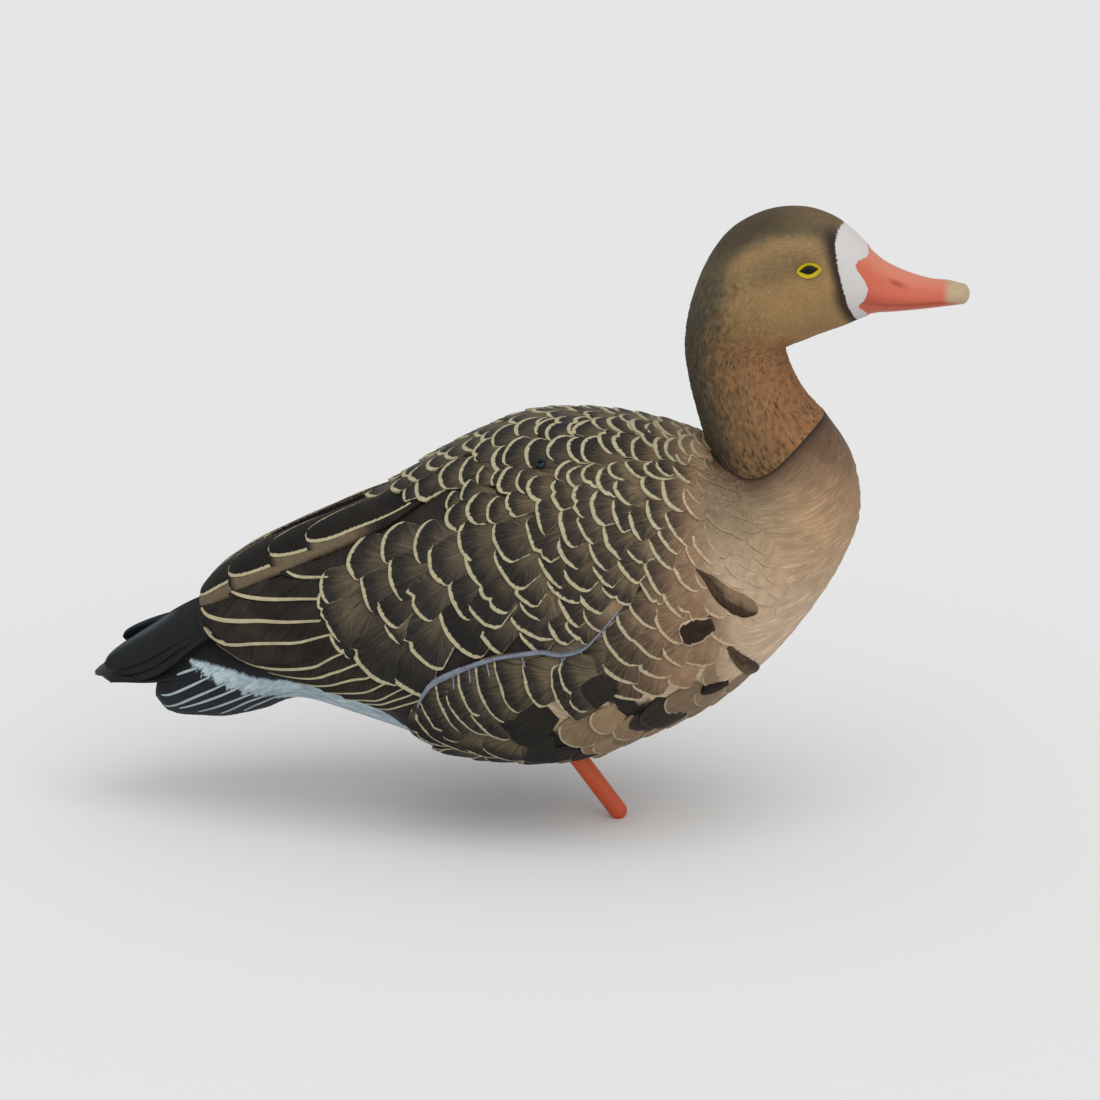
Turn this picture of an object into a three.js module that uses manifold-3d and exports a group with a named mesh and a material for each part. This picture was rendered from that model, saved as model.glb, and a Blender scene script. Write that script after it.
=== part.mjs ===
// A goose decoy: a full-bodied hunting decoy of a white-fronted goose, moulded in plastic, standing alert.
// Its pieces are the body with wings and tail, the separate head and neck, one leg post and a back screw.
// Millimetres, +Z up. The goose faces +X and its right side is at -Y.
// The origin is the middle of the small flat at the lower end of the leg post, held by a stake or base.

import * as THREE from "three";
import { mergeVertices } from "three/addons/utils/BufferGeometryUtils.js";
import Module from "manifold-3d";

const wasm = await Module();
wasm.setup();

// Driving dimensions
const decoyLength = 612; // tail tip to bill tip
const seamGap = 0.6; // dark line between the head and the body
const featherStep = 1.5; // how far a feather's tip stands over the next one
const feathersAround = 22;
const firstFeather = 14; // length of feather that shows beside the neck
const lastFeather = 31; // the same at the rear of the wing
const legDiameter = 13;
const legLean = 37; // degrees from upright, the foot forward
const legFlat = 7; // diameter of the flat at the lower end
const legSocketDepth = 26;
const legClearance = 0.3;
const screwHead = 7;
const screwShank = 3.2;
const screwLength = 12;
const screwClearance = 0.3;
const tailThickness = 5;
const eyeWidth = 17;

const percent = decoyLength / 100; // the free form's shares below are percent of the length
const surfaceStep = 1e-3; // step in the form's own parameters for its slopes

// Forms: along each, where its top and bottom lines run in the middle plane (x, z), its half width,
// how high up the widest level is, and how far the sides dip past the straight section.
const torso = {
  top: [
    [9.8, 45.6], [8.2, 46.3], [5.6, 46.9], [2.4, 47.5], [-1.5, 48], [-6.1, 48.1], [-11.1, 47.5],
    [-16.1, 45.5], [-21.7, 42.2], [-26.8, 38.7], [-32.2, 36], [-37.2, 33.7], [-42, 31.3],
    [-45.6, 28.9], [-47.9, 26.6],
  ],
  bottom: [
    [23.3, 48.6], [26.4, 43.7], [27.4, 37.4], [25.3, 31.4], [21.8, 25.7], [17, 19.9], [10.8, 14.7],
    [3.5, 11], [-4.4, 8.1], [-12.4, 7.8], [-19.7, 9], [-24.7, 12.4], [-33.2, 15.4], [-40.8, 18.2],
    [-46.2, 21.2],
  ],
  halfWidth: [6.5, 8.8, 11.4, 13.7, 15.5, 16.8, 17.5, 17.6, 17.2, 16.2, 15, 13.7, 12.1, 10.1, 7.5],
  widest: [0.5, 0.5, 0.48, 0.46, 0.45, 0.45, 0.45, 0.44, 0.42, 0.41, 0.4, 0.38, 0.34, 0.31, 0.33],
  dip: [4.3, 3.9, 3.3, 2.6, 1.8, 1.1, 0.5, 0, 0, 0, 0, 0, 0, 0, 0],
  squareTop: 2.1,
  squareBottom: 2.2,
};
const headAndNeck = {
  top: [
    [9.8, 45.6], [8.7, 49.2], [7.8, 52.9], [7.4, 56.4], [8, 60.8], [9.7, 65.6], [12.4, 69.4], [16.3, 71.6],
    [20.3, 72.1], [23.7, 71.2], [26.3, 69.4], [28.4, 67.3], [30, 66.1], [32.3, 65.1], [34.8, 64.4],
    [36.9, 64.1], [38.4, 63.9],
  ],
  bottom: [
    [23.3, 48.6], [21, 51], [19.4, 53.8], [18.7, 56.1], [19.5, 56.6], [20.8, 57.1], [22.2, 57.7],
    [23.8, 58.3], [25.4, 58.9], [26.7, 59.5], [27.9, 60], [29, 60.3], [30.2, 60.4], [32.3, 60.6], [34.7, 60.9],
    [36.8, 61.2], [38.4, 61.4],
  ],
  halfWidth: [6.5, 6, 5.6, 5.5, 5.7, 6, 6.2, 6.2, 5.9, 5.3, 4.6, 4, 3.5, 2.9, 2.5, 2.3, 1.9],
  widest: [0.5, 0.5, 0.5, 0.5, 0.5, 0.5, 0.5, 0.5, 0.48, 0.45, 0.42, 0.4, 0.38, 0.35, 0.35, 0.38, 0.45],
  dip: [4.3, 3.5, 2.5, 1.4, 0.5, 0, 0, 0, 0, 0, 0, 0, 0, 0, 0, 0, 0],
  squareTop: 2.05,
  squareBottom: 2.2,
};
const rump = {
  top: [
    [-22.8, 25.6], [-29.7, 25.6], [-36.6, 25.6], [-41.2, 24.4], [-45.3, 23.5], [-48.7, 22], [-51.1, 20.3],
    [-52.7, 18.4],
  ],
  bottom: [
    [-22.8, 10.2], [-29.7, 12.3], [-36.4, 13.8], [-41, 12.3], [-45, 11.2], [-48.9, 11], [-52.2, 11.3],
    [-54, 12.9],
  ],
  halfWidth: [12.3, 11, 9.3, 8.4, 7.6, 6.6, 5.4, 3.8],
  widest: [0.5, 0.5],
  dip: [0, 0],
  squareTop: 2,
  squareBottom: 2,
};
const dipSkew = 0.6; // the neck seam dips lowest behind the middle of the neck

// A smooth curve through evenly spaced values or points, read from 0 to 1.
function along(values) {
  const points = values.map((v) => (Array.isArray(v) ? new THREE.Vector2(...v) : new THREE.Vector2(v, 0)));
  const curve = new THREE.SplineCurve(points);
  return (t) => curve.getPoint(THREE.MathUtils.clamp(t, 0, 1));
}
for (const form of [torso, headAndNeck, rump])
  form.read = Object.fromEntries(
    ["top", "bottom", "halfWidth", "widest", "dip"].map((name) => [name, along(form[name])]),
  );

// The point of a form at s along it and angle th round it, 0 at the top line and pi at the bottom line.
// inward draws the section towards its middle, for the flat caps.
function formPoint(form, s, th, inward = 1) {
  const top = form.read.top(s);
  const bottom = form.read.bottom(s);
  const cos = Math.cos(th);
  const sin = Math.sin(th);
  const square = form.squareBottom + (form.squareTop - form.squareBottom) * (0.5 + 0.5 * cos);
  const radius = (Math.abs(cos) ** square + Math.abs(sin) ** square) ** (-1 / square);
  const widest = form.read.widest(s).x;
  const level = 0.5 + inward * (widest + radius * cos * (cos > 0 ? 1 - widest : widest) - 0.5);
  const down = bottom.clone().sub(top).normalize();
  const dip = form.read.dip(s).x * sin * sin * (1 + dipSkew * cos) * inward * inward;
  const x = bottom.x + (top.x - bottom.x) * level + down.y * dip;
  const z = bottom.y + (top.y - bottom.y) * level - down.x * dip;
  const y = -form.read.halfWidth(s).x * radius * sin * inward;
  return new THREE.Vector3(x, y, z).multiplyScalar(percent);
}

// The outward direction of a form's surface.
function formNormal(form, s, th) {
  const s0 = Math.max(s - surfaceStep, 0);
  const s1 = Math.min(s + surfaceStep, 1);
  const lengthwise = formPoint(form, s1, th).sub(formPoint(form, s0, th));
  const crosswise = formPoint(form, s, th + surfaceStep).sub(formPoint(form, s, th - surfaceStep));
  const normal = lengthwise.cross(crosswise).normalize();
  const fromMiddle = formPoint(form, s, th).sub(formPoint(form, s, th, 0));
  return normal.dot(fromMiddle) < 0 ? normal.negate() : normal;
}
const lifted = (form, s, th, lift) => formPoint(form, s, th).addScaledVector(formNormal(form, s, th), lift);

// A closed solid from rings of equally many points. With tips each end runs to its tip;
// without them each end ring is closed across, its first half joined to its second.
function skin(rings, tips) {
  const count = rings[0].length;
  const points = [...rings.flat(), ...(tips ?? [])];
  const faces = [];
  for (let i = 0; i + 1 < rings.length; i++)
    for (let j = 0; j < count; j++) {
      const a = i * count + j;
      const b = i * count + ((j + 1) % count);
      faces.push(a, b, a + count, b, b + count, a + count);
    }
  const last = (rings.length - 1) * count;
  for (let j = 0; tips && j < count; j++) {
    const next = (j + 1) % count;
    faces.push(points.length - 2, next, j);
    faces.push(points.length - 1, last + j, last + next);
  }
  for (let j = 0; !tips && j < count / 2 - 1; j++) {
    const across = count - 1 - j;
    faces.push(j, across - 1, j + 1, j, across, across - 1);
    faces.push(last + j, last + j + 1, last + across - 1, last + j, last + across - 1, last + across);
  }
  const made = solid(points.flatMap((p) => [p.x, p.y, p.z]), faces);
  if (made.volume() > 0) return made;
  return solid(points.flatMap((p) => [p.x, p.y, p.z]), faces.reverse());
}

function solid(positions, faces) {
  return new wasm.Manifold(
    new wasm.Mesh({
      numProp: 3,
      vertProperties: new Float32Array(positions),
      triVerts: new Uint32Array(faces),
    }),
  );
}

// A solid from one of three.js's own geometries, set in place.
function solidFrom(geometry, matrix = new THREE.Matrix4()) {
  geometry.deleteAttribute("normal");
  geometry.deleteAttribute("uv");
  const merged = mergeVertices(geometry.applyMatrix4(matrix), 1e-4);
  return solid(merged.attributes.position.array, merged.index.array);
}

function meshOf(name, made, material) {
  const { vertProperties, triVerts, numProp, numVert } = made.getMesh();
  const positions = new Float32Array(numVert * 3);
  for (let i = 0; i < numVert; i++)
    positions.set(vertProperties.subarray(i * numProp, i * numProp + 3), i * 3);
  const geometry = new THREE.BufferGeometry();
  geometry.setAttribute("position", new THREE.BufferAttribute(positions, 3));
  geometry.setIndex(new THREE.BufferAttribute(new Uint32Array(triVerts), 1));
  geometry.computeVertexNormals();
  const mesh = new THREE.Mesh(geometry, material);
  mesh.name = name;
  return mesh;
}

const round = (count, make) => Array.from({ length: count }, (_, j) => make((2 * Math.PI * j) / count));
const steps = (count, from, to) =>
  Array.from({ length: count + 1 }, (_, i) => THREE.MathUtils.lerp(from, to, i / count));
const smooth = (x, from, to) => THREE.MathUtils.smoothstep(x, from, to);

// Torso: overlapping feathers in rows from the neck back, each row a low edge and a high edge.
const columns = feathersAround * 2; // a tip and a gap by turns
const feathersEnd = 0.74; // along the torso, where the long wing feathers take over
const partingAngle = (4 * 2 * Math.PI) / columns; // from the top line to where back and wing feathers meet
const partingDepth = 1.8;
const partingWidth = 0.075;
const torsoCapDepth = 9;
const softEnd = 0.56; // before this the breast curves so much that each row has a middle ring too

function torsoRelief(s, th) {
  const fromTop = Math.abs(Math.atan2(Math.sin(th), Math.cos(th)));
  const reach = smooth(s, 0.12, 0.3) * (1 - smooth(s, 0.62, 0.74));
  return -partingDepth * reach * Math.exp(-(((fromTop - partingAngle) / partingWidth) ** 2));
}

// How strongly the feathers stand out: less on the breast and belly, and not at all at the neck's seat.
function featherStrength(s, th) {
  const fromTop = Math.abs(Math.atan2(Math.sin(th), Math.cos(th)));
  return smooth(s, 0, 0.06) * (1 - 0.75 * smooth(fromTop, 1.7, 2.5) * (1 - smooth(s, 0.4, 0.55)));
}

function featherRows() {
  const side = steps(400, 0, feathersEnd).map((s) => ({ s, p: formPoint(torso, s, Math.PI / 2) }));
  const rows = [];
  let travelled = 0;
  let next = firstFeather;
  for (let i = 1; i < side.length; i++) {
    travelled += side[i].p.distanceTo(side[i - 1].p);
    if (travelled < next) continue;
    rows.push(side[i].s);
    next = travelled + THREE.MathUtils.lerp(firstFeather, lastFeather, side[i].s / feathersEnd);
  }
  return rows;
}

function torsoSolid() {
  const rings = [0.5, 1].map((inward) => round(columns, (th) => formPoint(torso, 0, th, inward)));
  const rows = featherRows();
  rows.forEach((s, r) => {
    const gap = s - (rows[r - 1] ?? 0);
    const low = (th) => 0.3 * featherStep * featherStrength(s, th);
    if (s < softEnd) rings.push(round(columns, (th) => lifted(torso, s - gap * 0.5, th, low(th))));
    const tip = (th) => 0.5 + 0.5 * Math.cos(feathersAround * th + (r % 2) * Math.PI);
    const edge = (th) => s + gap * 0.28 * (tip(th) - 0.5);
    const high = (th) => featherStep * (0.35 + 0.65 * tip(th)) * featherStrength(s, th);
    rings.push(round(columns, (th) => lifted(torso, edge(th), th, high(th) + torsoRelief(edge(th), th))));
    rings.push(round(columns, (th) => lifted(torso, edge(th) + gap * 0.09, th, torsoRelief(edge(th), th))));
  });
  for (const s of steps(5, rows.at(-1) + 0.045, 1).slice(1))
    rings.push(round(columns, (th) => lifted(torso, s, th, torsoRelief(s, th))));
  const end = torso.read.top(1).add(torso.read.bottom(1)).multiplyScalar(0.5 * percent);
  const across = torso.read.top(1).clone().sub(torso.read.bottom(1)).normalize();
  const rearward = new THREE.Vector3(-across.y, 0, across.x);
  const centre = new THREE.Vector3(end.x, 0, end.y);
  for (const turn of [Math.PI / 6, Math.PI / 3])
    rings.push(
      round(columns, (th) =>
        formPoint(torso, 1, th)
          .sub(centre)
          .multiplyScalar(Math.cos(turn))
          .add(centre)
          .addScaledVector(rearward, torsoCapDepth * Math.sin(turn)),
      ),
    );
  return skin(rings, [formPoint(torso, 0, 0, 0), centre.addScaledVector(rearward, torsoCapDepth)]);
}

// A plate laid over the torso from rings of [s, th, lift], with a copy of each ring sunk under the skin.
const plateSink = 5;
function plate(rings, side) {
  return skin(
    rings.map((ring) => [
      ...ring.map(([s, th, lift]) => lifted(torso, s, side * th, lift)),
      ...[...ring].reverse().map(([s, th]) => lifted(torso, s, side * th, -plateSink)),
    ]),
  );
}

// The four long tertials over each wing, shingled: the topmost is the shortest and stands highest.
const tertialLine = along([0.36, 0.42, 0.46, 0.52, 0.58, 0.7]); // angle of their middle, root to last tip
const tertialRoot = 0.6;
const tertialTips = [0.765, 0.84, 0.915, 0.995];
const tertialHalfWidth = [0.25, 0.36];
const tertialStep = 1.1;
const tertialRound = 0.035; // how far a tip's sides stay behind its middle
function tertialStack(side) {
  const rings = [];
  const ring = (end, lift, rounding, narrow = 1) =>
    [-1, -0.7, -0.25, 0.25, 0.7, 1].map((v) => {
      const s = end - rounding * v * v;
      const u = (end - tertialRoot) / (tertialTips.at(-1) - tertialRoot);
      const half = THREE.MathUtils.lerp(...tertialHalfWidth, u) * narrow;
      return [s, tertialLine(u).x + v * half, lift + 0.9 * (1 - v * v)];
    });
  const full = tertialStep * tertialTips.length;
  rings.push(ring(tertialRoot, -1.5, 0), ring(tertialRoot + 0.07, 0.6 * full, 0));
  tertialTips.forEach((end, i) => {
    const lift = tertialStep * (tertialTips.length - i);
    rings.push(ring(end - 0.035, lift, 0));
    rings.push(ring(end, lift, tertialRound, i === tertialTips.length - 1 ? 0.8 : 1));
    if (i < tertialTips.length - 1) rings.push(ring(end + 0.006, lift - tertialStep, tertialRound));
  });
  return plate(rings, side);
}

// The folded secondaries under them, one band each, fan out from the coverts to the wing's rear edge.
// The lines between the bands, each from its root to its rear end; a band's lower edge laps over the next.
const secondaryLines = [
  [[0.69, 0.92], [0.97, 0.78]],
  [[0.69, 1.06], [0.985, 0.98]],
  [[0.69, 1.17], [1, 1.4]],
  [[0.685, 1.28], [0.995, 1.85]],
  [[0.68, 1.42], [0.93, 1.98]],
  [[0.67, 1.56], [0.85, 1.93]],
  [[0.66, 1.7], [0.79, 1.96]],
];
const secondaryStep = 1.2;
function secondaryFan(side) {
  const reach = [0, 0.2, 0.45, 0.7, 0.9, 1];
  return plate(
    reach.map((u) =>
      secondaryLines.slice(1).flatMap((lower, i) => {
        const upper = secondaryLines[i];
        return [0.03, 0.5, 1].map((v) => {
          const at = (end, k) => THREE.MathUtils.lerp(upper[end][k], lower[end][k], v);
          const bulge = 0.02 * Math.sin(Math.PI * v);
          const s = THREE.MathUtils.lerp(at(0, 0), Math.min(at(1, 0) + bulge, 1), u);
          return [s, THREE.MathUtils.lerp(at(0, 1), at(1, 1), u), 0.2 + secondaryStep * (0.3 + v)];
        });
      }),
    ),
    side,
  );
}

// The flank: a padded group of feathers whose upper edge laps over the wing.
const flankFrom = 0.35;
const flankTo = 0.705;
const flankLift = 4.5;
const flankTopLine = along([1.62, 1.72, 1.6, 1.5, 1.52, 1.62, 1.95]);
const flankBottomAngle = 2.75;
function flankSolid(side) {
  const rings = steps(12, 0, 1).map((u) => {
    const s = THREE.MathUtils.lerp(flankFrom, flankTo, u);
    const rounding = Math.sqrt(Math.max(1 - Math.max((u - 0.88) / 0.12, 0) ** 2, 0));
    const lift = flankLift * smooth(u, 0, 0.5) * rounding;
    return steps(5, 0, 1).map((v) => {
      const th = THREE.MathUtils.lerp(flankTopLine(u).x, flankBottomAngle, v);
      return [s, th, lift * Math.sin(Math.PI * (0.35 + 0.62 * v)) - 0.3];
    });
  });
  return plate(rings, side);
}

// Rump and undertail: the lobe under the wings that carries the tail.
function rumpSolid() {
  const rings = steps(8, 0, 1).map((s) => round(20, (th) => formPoint(rump, s, th)));
  return skin(rings);
}

// Tail: a shallow roof of feathers, its rear edge scalloped by their round ends.
const tailRoot = [-40, 21.5];
const tailTip = [-61.4, 16.9];
const tailHalfWidth = [3.4, 5.9];
const tailRoof = 0.5; // how steeply the two halves slope from the middle
const tailFeathers = 6;
function tailSolid() {
  const across = 3 * tailFeathers;
  const surface = (u, v, lift) => {
    const reach = 1 - 0.16 * v * v - 0.02 * (1 + Math.cos(tailFeathers * Math.PI * (v + 1)));
    const x = THREE.MathUtils.lerp(tailRoot[0], tailTip[0], u * reach);
    const z = THREE.MathUtils.lerp(tailRoot[1], tailTip[1], u * reach);
    const half = THREE.MathUtils.lerp(tailHalfWidth[0], tailHalfWidth[1], smooth(u, 0, 0.75));
    const roof = tailRoof * half * (0.15 - Math.hypot(v, 0.15));
    const thin = THREE.MathUtils.lerp(1, 0.45, u) * (1 - 0.5 * v * v);
    return new THREE.Vector3(x * percent, v * half * percent, (z + roof) * percent + lift * thin);
  };
  const rings = steps(4, 0, 1).map((u) => {
    const over = steps(across, -1, 1).map((v) => surface(u, v, tailThickness / 2));
    const under = steps(across, 1, -1).map((v) => surface(u, v, -tailThickness / 2));
    return [...over, ...under];
  });
  return skin(rings);
}

// Wing tips: on each side three long black primaries lie over the tail, each a little shorter and lower.
const primaryRoot = new THREE.Vector3(-39, 5.6, 24.8);
const primaryTips = [
  new THREE.Vector3(-58.7, 4.6, 18.8),
  new THREE.Vector3(-56.8, 5.3, 19),
  new THREE.Vector3(-54.6, 5.9, 19.4),
];
const primaryHalfWidth = 2.2;
const primaryThickness = 2.4;
function primarySolid(tip, index, side) {
  const rings = steps(7, 0, 1).map((u) => {
    const middle = primaryRoot.clone().lerp(tip, u).multiplyScalar(percent);
    middle.z += Math.sin(Math.PI * u) * 0.3 * percent;
    middle.y += index * 1.1;
    const taper = Math.sqrt(Math.max(1 - Math.max((u - 0.72) / 0.28, 0) ** 2, 0.003));
    const half = primaryHalfWidth * percent * taper * (0.7 + 0.3 * Math.sin(Math.PI * u));
    return [[1, 0], [0.55, 1], [-0.55, 1], [-1, 0], [-0.55, -1], [0.55, -1]].map(([h, t]) =>
      new THREE.Vector3(
        middle.x,
        -side * (middle.y + t * primaryThickness * 0.5 - h * half * 0.42),
        middle.z + h * half * 0.9,
      ),
    );
  });
  return skin(rings);
}

// Leg post: a round rod that leans forward, its lower end rounded to a small flat.
const legRadius = legDiameter / 2;
const lean = THREE.MathUtils.degToRad(legLean);
const legAxis = new THREE.Vector3(-Math.sin(lean), 0, Math.cos(lean));
const legBallHeight = Math.sqrt(legRadius ** 2 - (legFlat / 2) ** 2); // where the end's ball is centred

// How far up from its ball the leg's axis meets the line of the belly.
function bellyReach() {
  const axis = new THREE.Vector2(legAxis.x, legAxis.z);
  const foot = new THREE.Vector2(0, legBallHeight);
  const belly = steps(400, 0.4, 0.9).map((s) => torso.read.bottom(s).multiplyScalar(percent).sub(foot));
  const nearest = belly.reduce((a, b) => (Math.abs(a.cross(axis)) < Math.abs(b.cross(axis)) ? a : b));
  return nearest.dot(axis);
}
const legReach = bellyReach();

function legPlacement() {
  // the rod's own axis is +Y; its lower flat lies level, so the rod is turned and then trimmed at z = 0
  const turn = new THREE.Quaternion().setFromUnitVectors(new THREE.Vector3(0, 1, 0), legAxis);
  const ball = new THREE.Vector3(0, 0, legBallHeight);
  return new THREE.Matrix4().compose(ball, turn, new THREE.Vector3(1, 1, 1));
}
const ringSides = 24;
function legSolid() {
  const top = legReach + legSocketDepth;
  const profile = steps(6, -Math.PI / 2, 0).map(
    (a) => new THREE.Vector2(legRadius * Math.cos(a), legRadius * Math.sin(a)),
  );
  profile[0].x = 0;
  profile.push(new THREE.Vector2(legRadius, top), new THREE.Vector2(0, top));
  const rod = solidFrom(new THREE.LatheGeometry(profile, ringSides), legPlacement());
  const below = new THREE.BoxGeometry(4 * legDiameter, 4 * legDiameter, 2 * legDiameter);
  return rod.subtract(solidFrom(below.translate(0, 0, -legDiameter)));
}
function legSocket() {
  const radius = legRadius + legClearance;
  const top = legReach + legSocketDepth + legClearance;
  const bore = new THREE.CylinderGeometry(radius, radius, top, ringSides);
  return solidFrom(bore.translate(0, top / 2, 0), legPlacement());
}

// Back screw: a small domed head on the right of the back, in its own hole.
const screwAt = { s: 0.409, th: 0.655 };
function screwPlacement() {
  const out = formNormal(torso, screwAt.s, screwAt.th);
  const seat = lifted(torso, screwAt.s, screwAt.th, torsoRelief(screwAt.s, screwAt.th));
  const turn = new THREE.Quaternion().setFromUnitVectors(new THREE.Vector3(0, 1, 0), out);
  return new THREE.Matrix4().compose(seat, turn, new THREE.Vector3(1, 1, 1));
}
const screwDome = screwHead * 0.32;
const screwSides = 14;
const screwRecess = 1.2; // the counterbore's depth under the skin
const screwSeat = screwRecess - screwClearance;
function screwSolid() {
  const dome = steps(5, 0, Math.PI / 2).map(
    (a) => new THREE.Vector2((screwHead / 2) * Math.cos(a), screwDome * Math.sin(a) - screwSeat),
  );
  dome.at(-1).x = 0;
  const shank = screwShank / 2;
  const profile = [
    new THREE.Vector2(0, -screwLength),
    new THREE.Vector2(shank, -screwLength),
    new THREE.Vector2(shank, dome[0].y),
    ...dome,
  ];
  return solidFrom(new THREE.LatheGeometry(profile, screwSides), screwPlacement());
}
function screwHole() {
  const headRadius = screwHead / 2 + screwClearance;
  const shankRadius = screwShank / 2 + screwClearance;
  const height = screwRecess + screwHead; // it is cut well past the skin
  const depth = screwLength + screwClearance;
  const counterbore = new THREE.CylinderGeometry(headRadius, headRadius, height, screwSides);
  const pilot = new THREE.CylinderGeometry(shankRadius, shankRadius, depth, screwSides);
  counterbore.translate(0, height / 2 - screwRecess, 0);
  pilot.translate(0, -depth / 2, 0);
  return solidFrom(counterbore, screwPlacement()).add(solidFrom(pilot, screwPlacement()));
}

// Head and neck: the cheeks, brow, bill edge, nostrils and the line of the mouth are pushed out or in.
// Each mark: where it is (s, th), how far it reaches in s and th, and how far it stands out.
const headMarks = [
  { s: 0.36, th: 1.95, reach: [0.09, 0.6], lift: 2.6 }, // cheek
  { s: 0.47, th: 1.12, reach: [0.08, 0.16], lift: 1.6 }, // brow
  { s: 0.475, th: 1.46, reach: [0.035, 0.2], lift: -1.8 }, // eye socket
  { s: 0.535, th: 1.55, reach: [0.03, 0.35], lift: -1.2 }, // hollow before the eye
  { s: 0.77, th: 1.21, reach: [0.03, 0.18], lift: -1.8 }, // nostril
  { s: 0.76, th: 1.45, reach: [0.12, 0.2], lift: 0.8 }, // rise along the bill's side
  { s: 0.93, th: 0, reach: [0.035, 0.9], lift: 0.9 }, // nail at the tip
];
const mouth = { from: 0.63, to: 0.93, startAngle: 2.15, endAngle: 1.75, width: 0.14, depth: 1.2 };
const billFrom = 0.655; // the bill's own skin is this far along, and sits a little lower
function headRelief(s, th) {
  const fromTop = Math.abs(Math.atan2(Math.sin(th), Math.cos(th)));
  let lift = 0;
  for (const mark of headMarks) {
    const far = ((s - mark.s) / mark.reach[0]) ** 2 + ((fromTop - mark.th) / mark.reach[1]) ** 2;
    lift += mark.lift * Math.exp(-far);
  }
  const mouthAngle = THREE.MathUtils.mapLinear(s, mouth.from, mouth.to, mouth.startAngle, mouth.endAngle);
  const inMouth = smooth(s, mouth.from, mouth.from + 0.03) * (1 - smooth(s, mouth.to - 0.02, mouth.to));
  lift -= mouth.depth * inMouth * Math.exp(-(((fromTop - mouthAngle) / mouth.width) ** 2));
  return lift - 0.7 * smooth(s, billFrom - 0.02, billFrom + 0.01);
}

const headColumns = columns / 2;
const seamTrim = 9; // the neck is first made this much longer, then cut to the body's own seat
const neckFoot = headAndNeck.read.bottom(0).clone().sub(headAndNeck.read.top(0)).normalize();
const neckRise = new THREE.Vector3(-neckFoot.y, 0, neckFoot.x);
function seamCutter() {
  const seat = (inward, rise) =>
    round(columns, (th) => formPoint(torso, 0, th, inward).addScaledVector(neckRise, rise));
  const rings = [seat(0.5, seamGap), seat(1, seamGap), seat(1.2, seamGap), seat(1.2, -2 * seamTrim)];
  const middle = formPoint(torso, 0, 0, 0);
  return skin(rings, [
    middle.clone().addScaledVector(neckRise, seamGap),
    middle.clone().addScaledVector(neckRise, -2 * seamTrim),
  ]);
}
function headSolid() {
  const rings = [-seamTrim, seamGap].map((rise) =>
    round(headColumns, (th) => formPoint(headAndNeck, 0, th).addScaledVector(neckRise, rise)),
  );
  for (const s of [0.06, 0.12, 0.18, 0.23, 0.28, 0.33, 0.38, 0.42])
    rings.push(round(headColumns, (th) => lifted(headAndNeck, s, th, headRelief(s, th))));
  for (const s of steps(16, 0.448, 0.985))
    rings.push(round(headColumns, (th) => lifted(headAndNeck, s, th, headRelief(s, th))));
  const front = headAndNeck.read.top(1).add(headAndNeck.read.bottom(1)).multiplyScalar(0.5 * percent);
  const nose = new THREE.Vector3(front.x, 0, front.y);
  for (const turn of [Math.PI / 9, Math.PI / 3.6])
    rings.push(
      round(headColumns, (th) =>
        formPoint(headAndNeck, 1, th)
          .sub(nose)
          .multiplyScalar(Math.cos(turn))
          .add(nose)
          .add(new THREE.Vector3(percent * 1.1 * Math.sin(turn), 0, 0)),
      ),
    );
  nose.x += percent * 1.1;
  const root = formPoint(headAndNeck, 0, 0, 0).addScaledVector(neckRise, -seamTrim);
  return skin(rings, [root, nose]).subtract(seamCutter());
}

// Eyes: flattened balls sunk in their sockets, moulded with the head.
const eyeAt = { s: 0.476, th: 1.47 };
function eyeSolid(side) {
  const out = formNormal(headAndNeck, eyeAt.s, side * eyeAt.th);
  const seat = lifted(headAndNeck, eyeAt.s, side * eyeAt.th, headRelief(eyeAt.s, eyeAt.th) - 0.7);
  const forward = new THREE.Vector3(1, 0, 0.14).projectOnPlane(out).normalize();
  const up = new THREE.Vector3().crossVectors(out, forward);
  const place = new THREE.Matrix4().makeBasis(forward, up, out).setPosition(seat);
  const ball = new THREE.SphereGeometry(1, 14, 8);
  return solidFrom(ball.scale(eyeWidth / 2, eyeWidth * 0.29, 2.6), place);
}

const plastic = (color, roughness) => new THREE.MeshStandardMaterial({ color, roughness, metalness: 0 });
const looks = {
  plumage: plastic("#6a5a47", 0.75),
  headPaint: plastic("#785d3d", 0.85),
  orange: plastic("#b9512f", 0.5),
  screw: new THREE.MeshStandardMaterial({ color: "#20242a", roughness: 0.35, metalness: 0.9 }),
};

function bodySolid() {
  let made = torsoSolid().add(rumpSolid()).add(tailSolid());
  for (const side of [1, -1]) {
    made = made.add(flankSolid(side));
    made = made.add(secondaryFan(side)).add(tertialStack(side));
    primaryTips.forEach((tip, index) => (made = made.add(primarySolid(tip, index, side))));
  }
  return made.subtract(legSocket()).subtract(screwHole());
}

const goose = new THREE.Group();
goose.add(meshOf("body", bodySolid(), looks.plumage));
goose.add(meshOf("head_and_neck", headSolid().add(eyeSolid(1)).add(eyeSolid(-1)), looks.headPaint));
goose.add(meshOf("leg_post", legSolid(), looks.orange));
goose.add(meshOf("back_screw", screwSolid(), looks.screw));
export default goose;
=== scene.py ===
import bpy
import math
import numpy as np
from mathutils import Matrix, Vector


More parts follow.
